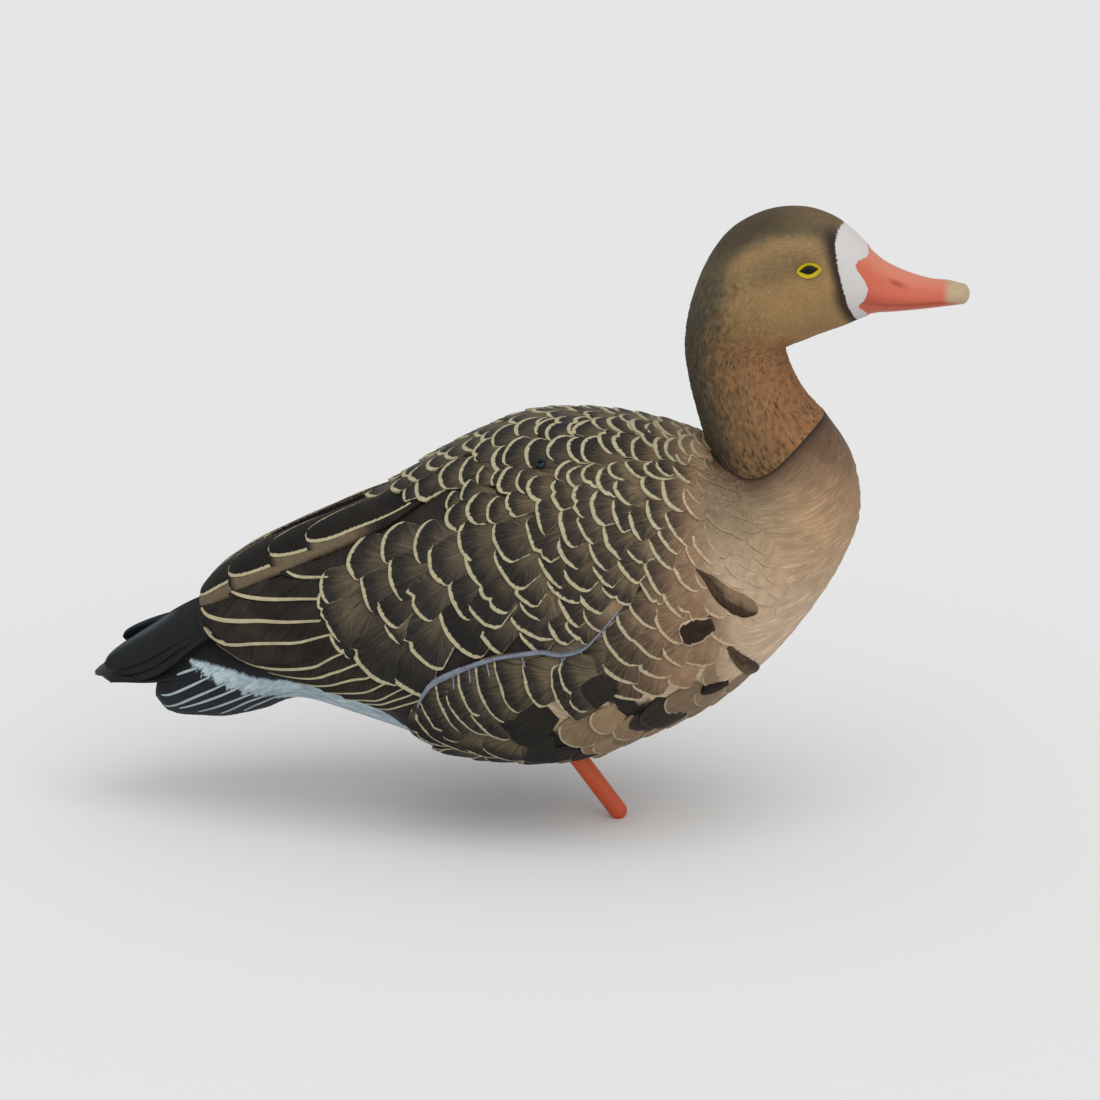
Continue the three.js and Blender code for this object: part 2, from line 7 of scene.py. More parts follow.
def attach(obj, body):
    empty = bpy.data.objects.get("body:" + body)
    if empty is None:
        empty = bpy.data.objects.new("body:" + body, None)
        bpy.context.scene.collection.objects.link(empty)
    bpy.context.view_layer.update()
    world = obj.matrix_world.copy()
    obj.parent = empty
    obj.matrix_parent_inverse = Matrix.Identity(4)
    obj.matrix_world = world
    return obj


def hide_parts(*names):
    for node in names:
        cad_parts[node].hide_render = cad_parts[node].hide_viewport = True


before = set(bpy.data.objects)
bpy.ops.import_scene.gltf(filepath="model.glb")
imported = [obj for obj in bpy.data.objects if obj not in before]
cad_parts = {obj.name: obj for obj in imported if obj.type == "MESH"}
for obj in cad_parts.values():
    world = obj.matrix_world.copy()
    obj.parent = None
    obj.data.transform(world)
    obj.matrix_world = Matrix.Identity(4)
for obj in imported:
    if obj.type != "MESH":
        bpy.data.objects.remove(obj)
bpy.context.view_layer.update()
print("frame loaded:", ", ".join(sorted(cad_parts)))

mm = 0.001
percent = 0.00612  # the forms are in percent of the decoy's 612 mm length

# The moulded forms, the same numbers as in the part's source. s runs along a form and th round it,
# 0 at the top line and pi at the bottom line. outward is the sign of its surface direction.
torso = {
    "top": [[9.8, 45.6], [8.2, 46.3], [5.6, 46.9], [2.4, 47.5], [-1.5, 48], [-6.1, 48.1], [-11.1, 47.5],
            [-16.1, 45.5], [-21.7, 42.2], [-26.8, 38.7], [-32.2, 36], [-37.2, 33.7], [-42, 31.3],
            [-45.6, 28.9], [-47.9, 26.6]],
    "bottom": [[23.3, 48.6], [26.4, 43.7], [27.4, 37.4], [25.3, 31.4], [21.8, 25.7], [17, 19.9], [10.8, 14.7],
               [3.5, 11], [-4.4, 8.1], [-12.4, 7.8], [-19.7, 9], [-24.7, 12.4], [-33.2, 15.4],
               [-40.8, 18.2], [-46.2, 21.2]],
    "halfWidth": [6.5, 8.8, 11.4, 13.7, 15.5, 16.8, 17.5, 17.6, 17.2, 16.2, 15, 13.7, 12.1, 10.1, 7.5],
    "widest": [0.5, 0.5, 0.48, 0.46, 0.45, 0.45, 0.45, 0.44, 0.42, 0.41, 0.4, 0.38, 0.34, 0.31, 0.33],
    "dip": [4.3, 3.9, 3.3, 2.6, 1.8, 1.1, 0.5, 0, 0, 0, 0, 0, 0, 0, 0],
    "squareTop": 2.1, "squareBottom": 2.2, "outward": 1,
}
headAndNeck = {
    "top": [[9.8, 45.6], [8.7, 49.2], [7.8, 52.9], [7.4, 56.4], [8, 60.8], [9.7, 65.6], [12.4, 69.4],
            [16.3, 71.6], [20.3, 72.1], [23.7, 71.2], [26.3, 69.4], [28.4, 67.3], [30, 66.1], [32.3, 65.1],
            [34.8, 64.4], [36.9, 64.1], [38.4, 63.9]],
    "bottom": [[23.3, 48.6], [21, 51], [19.4, 53.8], [18.7, 56.1], [19.5, 56.6], [20.8, 57.1], [22.2, 57.7],
               [23.8, 58.3], [25.4, 58.9], [26.7, 59.5], [27.9, 60], [29, 60.3], [30.2, 60.4], [32.3, 60.6],
               [34.7, 60.9], [36.8, 61.2], [38.4, 61.4]],
    "halfWidth": [6.5, 6, 5.6, 5.5, 5.7, 6, 6.2, 6.2, 5.9, 5.3, 4.6, 4, 3.5, 2.9, 2.5, 2.3, 1.9],
    "widest": [0.5, 0.5, 0.5, 0.5, 0.5, 0.5, 0.5, 0.5, 0.48, 0.45, 0.42, 0.4, 0.38, 0.35, 0.35, 0.38, 0.45],
    "dip": [4.3, 3.5, 2.5, 1.4, 0.5, 0, 0, 0, 0, 0, 0, 0, 0, 0, 0, 0, 0],
    "squareTop": 2.05, "squareBottom": 2.2, "outward": -1,
}
rump = {
    "top": [[-22.8, 25.6], [-29.7, 25.6], [-36.6, 25.6], [-41.2, 24.4], [-45.3, 23.5], [-48.7, 22],
            [-51.1, 20.3], [-52.7, 18.4]],
    "bottom": [[-22.8, 10.2], [-29.7, 12.3], [-36.4, 13.8], [-41, 12.3], [-45, 11.2], [-48.9, 11],
               [-52.2, 11.3], [-54, 12.9]],
    "halfWidth": [12.3, 11, 9.3, 8.4, 7.6, 6.6, 5.4, 3.8],
    "widest": [0.5, 0.5], "dip": [0, 0],
    "squareTop": 2, "squareBottom": 2, "outward": 1,
}


# A smooth curve through evenly spaced values (uniform Catmull-Rom), read at t from 0 to 1.
def readLine(values, t):
    values = np.asarray(values, float)
    last = len(values) - 1
    x = np.clip(t, 0, 1) * last
    i = np.minimum(np.floor(x).astype(int), last - 1)
    f = x - i
    if values.ndim > 1:
        f = f[..., None]
    before, here = values[np.maximum(i - 1, 0)], values[i]
    there, after = values[i + 1], values[np.minimum(i + 2, last)]
    out, back = (there - before) / 2, (after - here) / 2
    return ((2 * here - 2 * there + out + back) * f ** 3
            + (3 * there - 3 * here - 2 * out - back) * f ** 2 + out * f + here)


# Point of a form: the section at s runs between its top and bottom lines, a superellipse round th
# whose widest level and half width vary along s; the sides dip past the straight section.
def formPoint(form, s, th, inward=1.0):
    s, th = np.broadcast_arrays(np.asarray(s, float), np.asarray(th, float))
    top, bottom = readLine(form["top"], s), readLine(form["bottom"], s)
    half, widest, dip = (readLine(form[name], s) for name in ("halfWidth", "widest", "dip"))
    cos, sin = np.cos(th), np.sin(th)
    square = form["squareBottom"] + (form["squareTop"] - form["squareBottom"]) * (0.5 + 0.5 * cos)
    radius = (np.abs(cos) ** square + np.abs(sin) ** square) ** (-1 / square)
    level = 0.5 + inward * (widest + radius * cos * np.where(cos > 0, 1 - widest, widest) - 0.5)
    down = bottom - top
    down /= np.linalg.norm(down, axis=-1, keepdims=True)
    dip = dip * sin * sin * (1 + 0.6 * cos) * inward * inward
    x = bottom[..., 0] + (top - bottom)[..., 0] * level + down[..., 1] * dip
    z = bottom[..., 1] + (top - bottom)[..., 1] * level - down[..., 0] * dip
    return np.stack([x, -half * radius * sin * inward, z], -1) * percent


# Slopes and direction of a form's surface: central differences along s and th, and their cross product.
def formSlopes(form, s, th):
    step = 1e-3
    s0, s1 = np.clip(s - step, 0, 1), np.clip(s + step, 0, 1)
    alongS = (formPoint(form, s1, th) - formPoint(form, s0, th)) / (s1 - s0)[..., None]
    alongTh = (formPoint(form, s, th + step) - formPoint(form, s, th - step)) / (2 * step)
    normal = form["outward"] * np.cross(alongS, alongTh)
    normal /= np.linalg.norm(normal, axis=-1, keepdims=True)
    return alongS, alongTh, normal


# How far s and th move for steps in space: the two slopes' products with each other and with the step
# make two equations, solved for s and th.
def surfaceSteps(step, alongS, alongTh):
    def across(one, two):
        return np.einsum("ij,ij->i", one, two)[:, None]
    e, f, g = across(alongS, alongS), across(alongS, alongTh), across(alongTh, alongTh)
    p, q = np.einsum("nkj,nj->nk", step, alongS), np.einsum("nkj,nj->nk", step, alongTh)
    return (g * p - f * q) / (e * g - f * f), (e * q - f * p) / (e * g - f * f)


# A point of a form moved out along its own surface direction by lift, in metres.
def lifted(form, s, th, lift):
    s, th = np.broadcast_arrays(np.asarray(s, float), np.asarray(th, float))
    return formPoint(form, s, th) + formSlopes(form, s, th)[2] * np.asarray(lift)[..., None]


def smooth(x, low, high):
    t = np.clip((np.asarray(x, float) - low) / (high - low), 0, 1)
    return t * t * (3 - 2 * t)


# How far th is from the top line, from 0 to pi on either side.
def fromTop(th):
    return np.abs(np.arctan2(np.sin(th), np.cos(th)))


# Soft noise from -1 to 1: random values at whole numbers of x and y, blended between them.
def softNoise(x, y, seed):
    table = np.random.default_rng(seed).uniform(-1, 1, (64, 64))
    i, j = np.floor(x).astype(int), np.floor(y).astype(int)
    f, g = smooth(x - i, 0, 1), smooth(y - j, 0, 1)
    i0, i1, j0, j1 = i % 64, (i + 1) % 64, j % 64, (j + 1) % 64
    here = table[i0, j0] * (1 - f) + table[i1, j0] * f
    beside = table[i0, j1] * (1 - f) + table[i1, j1] * f
    return here * (1 - g) + beside * g


# An sRGB hex colour as linear light.
def linear(hexColour):
    value = np.array([int(hexColour[i:i + 2], 16) for i in (1, 3, 5)]) / 255
    return np.where(value <= 0.04045, value / 12.92, ((value + 0.055) / 1.055) ** 2.4)


# Two colours, or arrays of them, mixed by share.
def mix(one, other, share):
    share = np.asarray(share, float)[..., None]
    one = linear(one) if isinstance(one, str) else one
    other = linear(other) if isinstance(other, str) else other
    return one * (1 - share) + other * share


# A mesh piece from whole arrays: points (n, 3), faces in blocks of equal corner count, values one row
# a point. Its faces are turned outward if its signed volume says that they point in.
def makePiece(name, points, faces, finish, slotName, node, values, crease=45):
    points = np.asarray(points, float).reshape(-1, 3)
    mesh = bpy.data.meshes.new(name)
    mesh.from_pydata(points.tolist(), [], [corner for block in faces
                                           for corner in np.asarray(block).tolist()])
    for label, data in values.items():
        data = np.asarray(data, float).reshape(len(points), -1)
        kind, field = ("FLOAT", "value") if data.shape[1] == 1 else ("FLOAT_VECTOR", "vector")
        mesh.attributes.new(label, kind, "POINT").data.foreach_set(field, data.astype(np.float32).ravel())
    mesh.calc_loop_triangles()
    corners = np.empty(len(mesh.loop_triangles) * 3, np.int32)
    mesh.loop_triangles.foreach_get("vertices", corners)
    a, b, c = points[corners.reshape(-1, 3)].transpose(1, 0, 2)
    if np.einsum("ij,ij->i", a, np.cross(b, c)).sum() < 0:
        mesh.flip_normals()
    mesh.shade_smooth()
    mesh.set_sharp_from_angle(angle=math.radians(crease))
    mesh.materials.append(finish)
    piece = bpy.data.objects.new(name, mesh)
    bpy.context.scene.collection.objects.link(piece)
    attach(piece, "root")
    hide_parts(node)
    print("made", name, len(corners) // 3, "triangles")
    return piece


# Faces of a skin of rings (rows) of equally many points (columns), closed at each end on one extra point.
def skinFaces(rows, columns):
    i, j = np.meshgrid(np.arange(rows - 1), np.arange(columns), indexing="ij")
    here, over = i * columns + j, i * columns + (j + 1) % columns
    quads = np.stack([here, over, over + columns, here + columns], -1).reshape(-1, 4)
    k = np.arange(columns)
    first, last = rows * columns, rows * columns + 1
    capA = np.stack([np.full(columns, first), (k + 1) % columns, k], -1)
    capB = np.stack([np.full(columns, last), (rows - 1) * columns + k,
                     (rows - 1) * columns + (k + 1) % columns], -1)
    return [quads, capA, capB]


# Faces of a bar lofted through rings, each end closed by one face.
def loftFaces(rows, columns):
    i, j = np.meshgrid(np.arange(rows - 1), np.arange(columns), indexing="ij")
    here, over = i * columns + j, i * columns + (j + 1) % columns
    quads = np.stack([here, over, over + columns, here + columns], -1).reshape(-1, 4)
    ends = np.stack([np.arange(columns)[::-1], (rows - 1) * columns + np.arange(columns)])
    return [quads, ends]


# Several bodies as one: points stacked, faces renumbered, values stacked.
def joined(bodies):
    points, faces, values, start = [], [], {}, 0
    for bodyPoints, bodyFaces, bodyValues in bodies:
        bodyPoints = bodyPoints.reshape(-1, 3)
        points.append(bodyPoints)
        faces += [np.asarray(block) + start for block in bodyFaces]
        for label, data in bodyValues.items():
            values.setdefault(label, []).append(np.asarray(data, float).reshape(len(bodyPoints), -1))
        start += len(bodyPoints)
    return np.concatenate(points), faces, {label: np.concatenate(rows) for label, rows in values.items()}


# The same body on the decoy's other side: y turned round and each face's order with it.
def mirrored(body):
    points, faces, values = body
    return points * np.array([1, -1, 1]), [np.asarray(block)[:, ::-1] for block in faces], values


# Adds a shader node with its settings and links.
def addNode(tree, kind, settings=None, links=None):
    node = tree.nodes.new("ShaderNode" + kind)
    for name, value in (settings or {}).items():
        if isinstance(name, int) or name in node.inputs:
            node.inputs[name].default_value = value
        else:
            setattr(node, name, value)
    for name, source in (links or {}).items():
        tree.links.new(source, node.inputs[name])
    return node


# A value carried in a straight line from one range to another, and held at its ends.
def mapRange(tree, value, fromLow, fromHigh, toLow, toHigh):
    return addNode(tree, "MapRange", {"From Min": fromLow, "From Max": fromHigh, "To Min": toLow,
                                      "To Max": toHigh},
                   {"Value": value})


def newFinish(name):
    finish = bpy.data.materials.new(name)
    finish.use_nodes = True
    tree = finish.node_tree
    return finish, tree, tree.nodes["Principled BSDF"]


paintLook = {
    "fringeSoftness": 0.45,  # mm over which a painted fringe fades into the vane
    "fringeWobble": 1.1,  # mm
    "barbSpacing": 1.0,  # mm between painted barbs; real ones are finer, drawn coarse enough to show
    "barbLength": 14,  # mm
    "barbStrength": 0.9,
    "paleStrength": 0.13,  # pale feathers were brushed less,
    "paleFrom": 0.2,  # from this brightness on
    "roughness": 0.66,
    "gloss": 0.25,
    "relief": 0.35,  # mm
}
vaneLook = {**paintLook, "barbSpacing": 1.4, "barbLength": 22, "barbStrength": 0.5, "paleStrength": 0.12,
            "paleFrom": 0.09, "relief": 0.25, "gloss": 0.14}


# Feather paint on moulded polyethylene: matt acrylic, sprayed dark and dry-brushed along the barbs,
# with a brushed cream fringe. The eye gets soft low gloss, streaks that fan from the shaft, and
# slightly ragged fringes. barb holds mm along the feather's edge, mm in from it, and a number per feather.
def makeFeatherPaint(name, look):
    finish, tree, shader = newFinish(name)
    barb = addNode(tree, "Attribute", {"attribute_name": "barb"}).outputs["Vector"]
    vane = addNode(tree, "Attribute", {"attribute_name": "vane"}).outputs["Color"]
    fringe = addNode(tree, "Attribute", {"attribute_name": "fringe"}).outputs["Color"]
    rim = addNode(tree, "Attribute", {"attribute_name": "rim"}).outputs["Fac"]
    parts = addNode(tree, "SeparateXYZ", links={"Vector": barb})
    edgePlace = addNode(tree, "CombineXYZ", links={"X": parts.outputs["X"], "Y": parts.outputs["Z"]})
    edgeNoise = addNode(tree, "TexNoise", {"Scale": 0.45, "Detail": 3.0, "Roughness": 0.6},
                        {"Vector": edgePlace.outputs[0]})
    wobble = addNode(tree, "MapRange", {"From Min": 0.3, "From Max": 0.7,
                                        "To Min": -0.5 * look["fringeWobble"],
                                        "To Max": 0.5 * look["fringeWobble"], "clamp": False},
                     {"Value": edgeNoise.outputs[0]})
    # the fringe shows where the distance in from the edge is less than its width
    width = addNode(tree, "Math", {"operation": "ADD"}, {0: rim, 1: wobble.outputs[0]})
    inside = addNode(tree, "Math", {"operation": "SUBTRACT"}, {0: width.outputs[0], 1: parts.outputs["Y"]})
    shown = addNode(tree, "MapRange", {"From Min": -look["fringeSoftness"],
                                       "interpolation_type": "SMOOTHSTEP",
                                       "From Max": look["fringeSoftness"]}, {"Value": inside.outputs[0]})
    hasRim = addNode(tree, "MapRange", {"From Min": 0.1, "From Max": 0.5}, {"Value": rim})
    fringed = addNode(tree, "Math", {"operation": "MULTIPLY"}, {0: shown.outputs[0], 1: hasRim.outputs[0]})
    stretch = addNode(tree, "Mapping", {"Scale": (1 / look["barbSpacing"], 1 / look["barbLength"], 9.0)},
                      {"Vector": barb})
    streaks = addNode(tree, "TexNoise", {"Scale": 1.0, "Detail": 4.0, "Roughness": 0.65, "Distortion": 0.3},
                      {"Vector": stretch.outputs[0]})
    streak = addNode(tree, "MapRange", {"From Min": 0.36, "From Max": 0.66}, {"Value": streaks.outputs[0]})
    spots = addNode(tree, "TexNoise", {"Scale": 180.0, "Detail": 3.0},
                    {"Vector": addNode(tree, "TexCoord").outputs["Object"]})
    strength = addNode(tree, "MapRange", {"From Min": 0.03, "From Max": look["paleFrom"],
                                          "To Min": look["barbStrength"],
                                          "To Max": look["paleStrength"]},
                       {"Value": addNode(tree, "RGBToBW", links={"Color": vane}).outputs[0]})
    darker = addNode(tree, "Mix", {"data_type": "RGBA", "blend_type": "MULTIPLY"},
                     {"Factor": strength.outputs[0]})
    tree.links.new(vane, darker.inputs[6])
    darkness = mapRange(tree, streak.outputs[0], 0.0, 1.0, 0.3, 1.9)
    tree.links.new(darkness.outputs[0], darker.inputs[7])
    speckled = addNode(tree, "Mix", {"data_type": "RGBA", "blend_type": "MULTIPLY", "Factor": 0.35})
    grain = mapRange(tree, spots.outputs[0], 0.3, 0.7, 0.6, 1.35)
    tree.links.new(darker.outputs[2], speckled.inputs[6])
    tree.links.new(grain.outputs[0], speckled.inputs[7])
    painted = addNode(tree, "Mix", {"data_type": "RGBA"}, {"Factor": fringed.outputs[0]})
    tree.links.new(speckled.outputs[2], painted.inputs[6])
    # the brush leaves less paint here and there along a fringe
    brushed = addNode(tree, "Mix", {"data_type": "RGBA", "blend_type": "MULTIPLY", "Factor": 1.0})
    tree.links.new(fringe, brushed.inputs[6])
    paintLoad = mapRange(tree, edgeNoise.outputs[0], 0.34, 0.62, 0.82, 1.04)
    tree.links.new(paintLoad.outputs[0], brushed.inputs[7])
    tree.links.new(brushed.outputs[2], painted.inputs[7])
    tree.links.new(painted.outputs[2], shader.inputs["Base Color"])
    raised = addNode(tree, "Math", {"operation": "MULTIPLY_ADD", 1: 0.6},
                     {0: streak.outputs[0], 2: fringed.outputs[0]})
    bump = addNode(tree, "Bump", {"Strength": 0.6, "Distance": look["relief"] * mm},
                   {"Height": raised.outputs[0]})
    tree.links.new(bump.outputs[0], shader.inputs["Normal"])
    shader.inputs["Roughness"].default_value = look["roughness"]
    shader.inputs["Specular IOR Level"].default_value = look["gloss"]
    return finish


bodyLook = {"downSpacing": 1.1, "downLength": 6.9, "downStrength": 0.35, "crests": 0.0, "roughness": 0.72,
            "relief": 0.25}
breastPaintLook = {**bodyLook, "downSpacing": 2.5, "downLength": 24, "downStrength": 0.12, "crests": 0.2,
                   "relief": 0.8}


# Body paint on moulded polyethylene: matt acrylic over fine moulded down. It is soft and dull,
# with short hair-fine strokes, and on the breast long pale crests. coat holds the sprayed colour, down
# the strokes' own directions in mm: along them, then across.
def makeBodyPaint(name, look):
    finish, tree, shader = newFinish(name)
    coat = addNode(tree, "Attribute", {"attribute_name": "coat"}).outputs["Color"]
    down = addNode(tree, "Attribute", {"attribute_name": "down"}).outputs["Vector"]
    fine = addNode(tree, "Mapping", {"Scale": (1 / look["downLength"], 1 / look["downSpacing"], 1.0)},
                   {"Vector": down})
    hairs = addNode(tree, "TexNoise", {"Scale": 1.0, "Detail": 4.0, "Roughness": 0.6, "Distortion": 0.6},
                    {"Vector": fine.outputs[0]})
    shade = mapRange(tree, hairs.outputs[0], 0.3, 0.7, 1 - look["downStrength"], 1 + look["downStrength"])
    cloud = addNode(tree, "TexNoise", {"Scale": 55.0, "Detail": 3.0},
                    {"Vector": addNode(tree, "TexCoord").outputs["Object"]})
    cloudy = mapRange(tree, cloud.outputs[0], 0.3, 0.7, 0.85, 1.15)
    # crests are thin lines where a slow noise passes its middle
    folds = addNode(tree, "TexNoise", {"Scale": 0.8, "Detail": 1.0, "Distortion": 0.7},
                    {"Vector": fine.outputs[0]})
    apart = addNode(tree, "Math", {"operation": "SUBTRACT", 1: 0.5}, {0: folds.outputs[0]})
    apart = addNode(tree, "Math", {"operation": "ABSOLUTE"}, {0: apart.outputs[0]})
    crest = addNode(tree, "MapRange", {"From Min": 0.0, "From Max": 0.07, "To Min": 1 + look["crests"],
                                       "To Max": 1 - 0.4 * look["crests"],
                                       "interpolation_type": "SMOOTHSTEP"},
                    {"Value": apart.outputs[0]})
    shade = addNode(tree, "Math", {"operation": "MULTIPLY"}, {0: shade.outputs[0], 1: crest.outputs[0]})
    both = addNode(tree, "Math", {"operation": "MULTIPLY"}, {0: shade.outputs[0], 1: cloudy.outputs[0]})
    painted = addNode(tree, "Mix", {"data_type": "RGBA", "blend_type": "MULTIPLY", "Factor": 1.0})
    tree.links.new(coat, painted.inputs[6])
    tree.links.new(both.outputs[0], painted.inputs[7])
    tree.links.new(painted.outputs[2], shader.inputs["Base Color"])
    bump = addNode(tree, "Bump", {"Strength": 0.5, "Distance": look["relief"] * mm},
                   {"Height": shade.outputs[0]})
    tree.links.new(bump.outputs[0], shader.inputs["Normal"])
    shader.inputs["Roughness"].default_value = look["roughness"]
    shader.inputs["Specular IOR Level"].default_value = 0.3
    return finish


featherPaint = makeFeatherPaint("mattFeatherPaint", paintLook)
vanePaint = makeFeatherPaint("mattVanePaint", vaneLook)
bodyPaint = makeBodyPaint("mattBodyPaint", bodyLook)
breastPaint = makeBodyPaint("mattBreastPaint", breastPaintLook)

# The line between the back's feathers and the wing's, its angle from the top line at s 0 to 0.7.
partingLine = [0.56, 0.6, 0.64, 0.66, 0.68, 0.63, 0.6, 0.48]
partingDepth = 1.8


def partingAngle(s):
    return readLine(partingLine, np.asarray(s, float) / 0.7)


# Relief of the torso under its feathers, in mm: a groove along the parting line.
def torsoRelief(s, th):
    reach = smooth(s, 0.1, 0.28) * (1 - smooth(s, 0.6, 0.7))
    return -partingDepth * reach * np.exp(-(((fromTop(th) - partingAngle(s)) / 0.07) ** 2))


# Where feathers begin on the breast: s of the first ones at each angle from the top line.
breastAngles = [0, 0.57, 0.8, 1.13, 1.44, 1.73, 2.08, 2.3, 2.5, 2.8, math.pi]
breastStart = [0.03, 0.03, 0.07, 0.14, 0.22, 0.275, 0.31, 0.35, 0.39, 0.42, 0.44]

# Painted patches: where (s, th), how far in s and in th, the slope of the patch (s a radian), its colour.
patches = [
    (0.467, 2.5, 0.026, 0.36, -0.04, "#120e0b"),
    (0.484, 2.06, 0.014, 0.24, -0.06, "#1e1712"),
    (0.571, 2.28, 0.027, 0.46, -0.03, "#110e0b"),
    (0.44, 3.0, 0.02, 0.2, -0.05, "#120e0b"),
]


# How strongly each patch covers a place: full inside its sheared ellipse, soft over its last part.
def patchCover(s, th):
    around = fromTop(th)
    ragged = 0.16 * softNoise(s * 260, around * 22, 31) + 0.1 * softNoise(s * 90, around * 60, 32)
    cover = []
    for atS, atTh, farS, farTh, slope, _ in patches:
        off = np.hypot((s - atS - slope * (around - atTh)) / farS, (around - atTh) / farTh)
        cover.append(1 - smooth(off + ragged, 0.8, 1.05))
    return cover


breastLook = {
    "shadeUnderNeck": "#5a4230", "front": "#a98968", "side": "#7a6c55", "low": "#c4ac91", "under": "#221d18",
    "belly": "#9a8467", "vent": "#8f9698", "seam": "#33271d", "waveSpacing": 13, "waveHeight": 0.4,
    "waveTone": 0.05,
    "length": 430,  # mm of s on the breast
    "riseTh": [0, 1.2, 1.6, 2.0, 2.4, 2.8, 3.0, math.pi],  # crests rise toward the front
    "rise": [0, 0, 6, 20, 42, 66, 74, 76],  # by so many mm
}


# Breast coat by place: painted shade under the neck, greyer at the sides, warm tan in front, paler below.
def breastCoat(s, th):
    around = fromTop(th)
    colour = mix(breastLook["side"], breastLook["front"], smooth(around, 1.3, 2.4))
    colour = mix(colour, breastLook["low"], smooth(s, 0.12, 0.34) * smooth(around, 1.2, 1.9))
    # painted shade under the neck, fading out from the seam
    return mix(colour, breastLook["shadeUnderNeck"], 1 - smooth(s, 0.0, 0.12 + 0.07 * smooth(around, 1.8, 3)))


# Millimetres across the breast's crests: along s, plus what they rise toward the front.
def acrossCrests(s, around):
    rise = np.interp(around, breastLook["riseTh"], breastLook["rise"])
    return s * breastLook["length"] + rise * (0.4 + 0.6 * smooth(s, 0.03, 0.26))


# The torso's colours: the breast coat, painted shade where feathers cover it and under the wings, pale
# behind the belly, with painted shade along the neck's seam, and the painted patches.
def breastColour(s, th):
    around = fromTop(th)
    start = np.interp(around, breastAngles, breastStart)
    colour = mix(breastCoat(s, th), breastLook["belly"], smooth(s, 0.5, 0.62))
    # painted shade: a dark coat on the skin under the feathers, and on the next line under the wings
    colour = mix(colour, breastLook["under"], smooth(s - start, 0.02, 0.1) * (1 - smooth(around, 1.5, 1.9)))
    colour = mix(colour, breastLook["under"], smooth(s, 0.56, 0.62))
    colour = mix(colour, breastLook["vent"], smooth(s, 0.72, 0.76) * smooth(around, 2.3, 2.5))
    # painted shade along the seam where the head sits on the body
    colour = mix(colour, breastLook["seam"], np.exp(-(s / 0.012) ** 2))
    for cover, patch in zip(patchCover(s, th), patches):
        colour = mix(colour, patch[5], cover)
    return colour


# Where the flank stands out: the line of its top, and its rear end, both as s and angle.
flankLineS = [0.36, 0.414, 0.448, 0.478, 0.504, 0.524, 0.56, 0.592, 0.622, 0.652, 0.674, 0.7, 0.73]
flankLineTh = [1.5, 1.588, 1.657, 1.706, 1.676, 1.588, 1.519, 1.509, 1.528, 1.578, 1.726, 1.9, 2.2]
flankLift = 4.2  # mm
flankEdgeTh = [1.5, 1.73, 1.89, 2.04, 2.33, 2.47, 2.68, 2.9, 3.2]
flankEdgeS = [0.655, 0.674, 0.698, 0.712, 0.724, 0.712, 0.69, 0.66, 0.63]


# The flank stands out from the torso in one padded swell, highest in the middle of its height, in mm.
def flankSwell(s, th):
    around = fromTop(th)
    line = np.interp(s, flankLineS, flankLineTh)
    across = np.clip((around - line) / (2.8 - line), 0, 1)
    rearEnd = np.interp(around, flankEdgeTh, flankEdgeS)
    rounding = np.sqrt(np.clip(1 - np.clip((s - rearEnd + 0.06) / 0.075, 0, 1) ** 2, 0, 1))
    return flankLift * smooth(s, 0.4, 0.54) * np.sin(np.pi * (0.33 + 0.6 * across)) * rounding


# The torso's own skin, a fine grid of the form: soft waves across the breast, a dip under the feathers.
def makeTorso():
    rows, columns = 300, 240
    s = np.linspace(0, 1, rows)[:, None] + np.zeros(columns)
    th = np.linspace(0, 2 * np.pi, columns, endpoint=False) + np.zeros((rows, 1))
    around = fromTop(th)
    start = np.interp(around, breastAngles, breastStart)
    bare = 1 - smooth(s - start, 0.0, 0.06)
    # waves: along the crests, bent by slow noise
    bend = 1.2 * softNoise(s * 12, around * 4, 3) + 0.4 * softNoise(s * 30, around * 9, 4)
    wave = np.sin(acrossCrests(s, around) / breastLook["waveSpacing"] * 2 * np.pi + 2.4 * bend)
    breaks = smooth(softNoise(s * 60, around * 16, 5), -0.5, 0.4)
    relief = breastLook["waveHeight"] * (1 - smooth(s - start, -0.1, -0.04)) * smooth(s, 0.02,
                                                                                      0.08) * wave * breaks
    swell = flankSwell(s, th) * smooth(around - np.interp(s, flankLineS, flankLineTh), 0.02, 0.1)
    relief = relief + torsoRelief(s, th) - 0.9 * (1 - bare) + np.maximum(swell - 0.6, 0)
    points = lifted(torso, s, th, relief * mm)
    points[0] = formPoint(torso, s[0], th[0])
    rear = formPoint(torso, np.ones(columns), th[0])
    centre = (formPoint(torso, 1.0, 0.0) + formPoint(torso, 1.0, np.pi)) / 2
    axis = formPoint(torso, 1.0, 0.0) - formPoint(torso, 1.0, np.pi)
    rearward = np.array([-axis[2], 0, axis[0]]) / np.linalg.norm(axis)
    domes = [centre + (rear - centre) * math.cos(turn) + rearward * 9 * mm * math.sin(turn)
             for turn in (0.35, 0.7, 1.05, 1.35)]
    seat = [formPoint(torso, np.zeros(columns), th[0], inward) for inward in (0.4, 0.8)]
    grid = np.concatenate([seat, points, domes])
    count = len(grid)
    tips = np.array([formPoint(torso, 0.0, 0.0, 0.0), centre + rearward * 9 * mm])
    sAll = np.concatenate([s[:1] * 0, s[:1] * 0, s, np.ones((4, columns))])
    thAll = np.broadcast_to(th[0], (count, columns))
    colour = breastColour(sAll, thAll)
    crest = np.concatenate([np.zeros((2, columns)), bare * wave * breaks, np.zeros((4, columns))])
    colour = colour * (1 + breastLook["waveTone"] * crest)[..., None]
    down = np.stack([fromTop(thAll) * 90, acrossCrests(sAll, fromTop(thAll)), 0 * sAll], -1)
    # the two end points take a dark tone like the seam's painted shade
    values = {"coat": np.concatenate([colour.reshape(-1, 3), np.tile(linear("#2b231c"), (2, 1))]),
              "down": np.concatenate([down.reshape(-1, 3), np.zeros((2, 3))])}
    makePiece("bodySkin", np.concatenate([grid.reshape(-1, 3), tips]), skinFaces(count, columns),
              breastPaint, "plumage", "body", values)


makeTorso()


